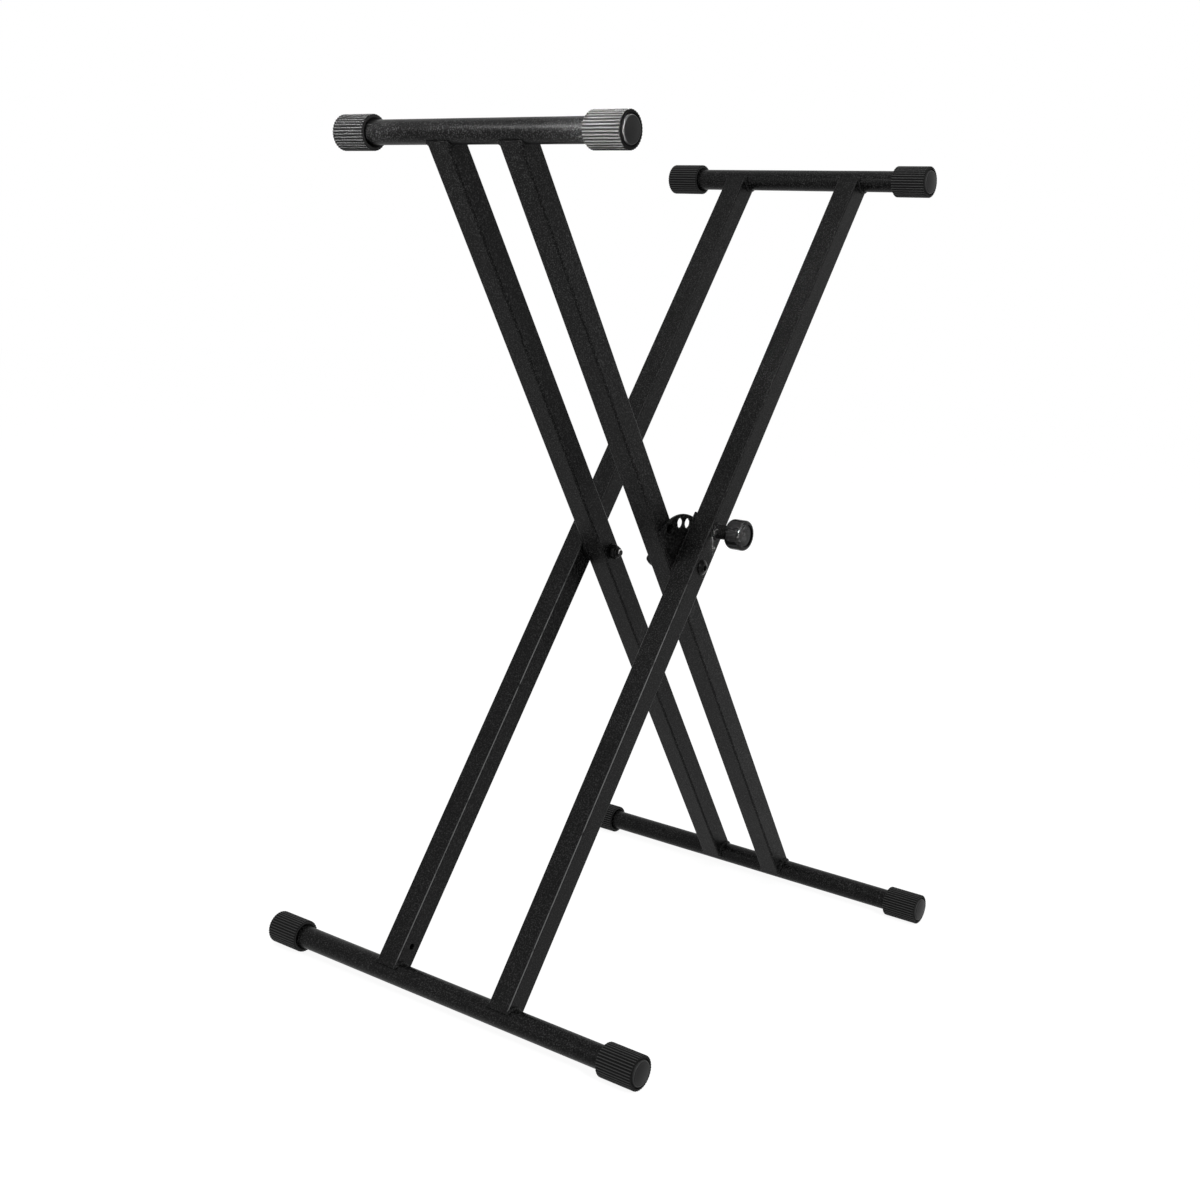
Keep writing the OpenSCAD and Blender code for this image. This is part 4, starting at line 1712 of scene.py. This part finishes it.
@dataclass(frozen=True)
class SoftBox:
    """A flat lamp, tall times as high as wide, with a grid that keeps its light within a cone.

    The cone is in degrees.
    """

    name: str
    place: tuple[float, float, float]
    aim: tuple[float, float, float]
    width: float
    watts: float
    cone: float = 180.0
    tall: float = 1.0

    def build(self) -> None:
        """Adds the lamp, turned to its aim and out of the camera's sight."""
        data = bpy.data.lights.new(self.name, "AREA")
        data.shape, data.energy, data.spread = "RECTANGLE", self.watts, math.radians(self.cone)
        data.size, data.size_y = self.width, self.width * self.tall
        lamp = bpy.data.objects.new(self.name, data)
        lamp.visible_camera = False
        lamp.location = self.place
        lamp.rotation_euler = (Vector(self.aim) - Vector(self.place)).to_track_quat("-Z", "Y").to_euler()
        bpy.context.scene.collection.objects.link(lamp)


@dataclass(frozen=True)
class Studio:
    """Pale floor, white surroundings and soft lamps."""

    ambient: float = 0.42
    floor_half: float = 9.0
    floor_level: float = -0.0003
    floor_glow: float = 1.25
    floor_seen: float = 0.72
    floor_tones: tuple[float, float] = (0.82, 0.86)
    cloud_size: float = 300.0
    lamps: tuple[SoftBox, ...] = (
        SoftBox("near_box", (-0.70, 0.24, 1.06), (-0.27, -0.12, 0.84), 0.14, 0.55, cone=70.0),
        SoftBox("cap_box", (-0.612, -0.142, 0.958), (-0.274, -0.15, 0.835), 0.06, 0.235, cone=20.0),
        SoftBox("rear_cap_box", (-0.612, 0.15, 0.958), (-0.274, 0.15, 0.835), 0.06, 0.09, cone=20.0),
        SoftBox("knob_box", (-0.0922, -0.3292, 0.5581), (0.013, -0.1215, 0.466), 0.02, 0.035, cone=4.0),
        SoftBox("left_box", (-2.4, 0.9, 1.3), (-0.1, 0.0, 0.5), 1.0, 8.0),
        SoftBox("top_box", (-0.3, -0.2, 2.6), (0.0, 0.0, 0.4), 1.6, 9.0),
        SoftBox("front_box", (-0.95, -1.92, 1.6), (-0.1, 0.0, 0.43), 0.35, 20.0, tall=2.4),
    )

    @staticmethod
    def seen_directly(tree: ShaderTree) -> Shade:
        """Sorts out the rays that show the surroundings.

        Args:
            tree: Tree that the nodes go in.

        Returns:
            1 for camera, glossy and transmission rays, and 0 for the rest.
        """
        path = tree.node("ShaderNodeLightPath")
        camera, glossy, clear = (
            Shade(tree, path.outputs[f"Is {kind} Ray"]) for kind in ("Camera", "Glossy", "Transmission")
        )
        return tree.math("MINIMUM", camera + glossy + clear, 1.0)

    def world(self) -> None:
        """White where it is seen, and a softer light on the stand."""
        world = bpy.data.worlds.new("white_studio")
        world.use_nodes = True
        bpy.context.scene.world = world
        tree = ShaderTree(world.node_tree)
        soft = tree.node("ShaderNodeBackground", inputs={"Color": grey(1.0), "Strength": self.ambient})
        seen = tree.node("ShaderNodeBackground", inputs={"Color": grey(1.0), "Strength": 1.0})
        mix = tree.node("ShaderNodeMixShader", inputs={
            0: self.seen_directly(tree), 1: soft.outputs[0], 2: seen.outputs[0],
        })
        tree.node("ShaderNodeOutputWorld", inputs={"Surface": mix.outputs[0]})

    def floor(self) -> None:
        """A wide pale floor that keeps the stand's shadow, brought up to white for the camera."""
        material = bpy.data.materials.new("pale_floor")
        material.use_nodes = True
        tree = ShaderTree(material.node_tree)
        cloud = tree.blend(tree.noise(self.cloud_size, 3.0), *map(grey, self.floor_tones))
        plain = tree.node("ShaderNodeBsdfDiffuse", inputs={"Color": cloud})
        glow = tree.node("ShaderNodeEmission", inputs={"Color": grey(1.0), "Strength": self.floor_glow})
        mix = tree.node("ShaderNodeMixShader", inputs={
            0: self.seen_directly(tree) * self.floor_seen, 1: plain.outputs[0], 2: glow.outputs[0],
        })
        tree.node("ShaderNodeOutputMaterial", inputs={"Surface": mix.outputs[0]})
        half = np.array([-self.floor_half, self.floor_half])
        x, y = np.meshgrid(half, half)
        grid = np.stack([x, y, np.full_like(x, self.floor_level)], axis=-1) / MM
        sheet = Surface.woven(grid, closed_columns=False)
        mesh = bpy.data.meshes.new("floor")
        mesh.from_pydata((sheet.points * MM).tolist(), [], sheet.quads.tolist())
        mesh.materials.append(material)
        floor = bpy.data.objects.new("floor", mesh)
        bpy.context.scene.collection.objects.link(floor)

    def build(self) -> None:
        """Sets up the whole studio."""
        bpy.context.scene.view_settings.view_transform = "Standard"
        self.world()
        self.floor()
        for lamp in self.lamps:
            lamp.build()


def main() -> None:
    """Builds the sub-assemblies in order."""
    logging.basicConfig(level=logging.INFO, format="%(message)s")
    for part in (Camera(), Studio(), Legs(), Bars(), EndCaps(), LockPlates(), Plunger(), Pivots()):
        part.build()
    bpy.context.view_layer.update()


if __name__ == "__main__":
    main()
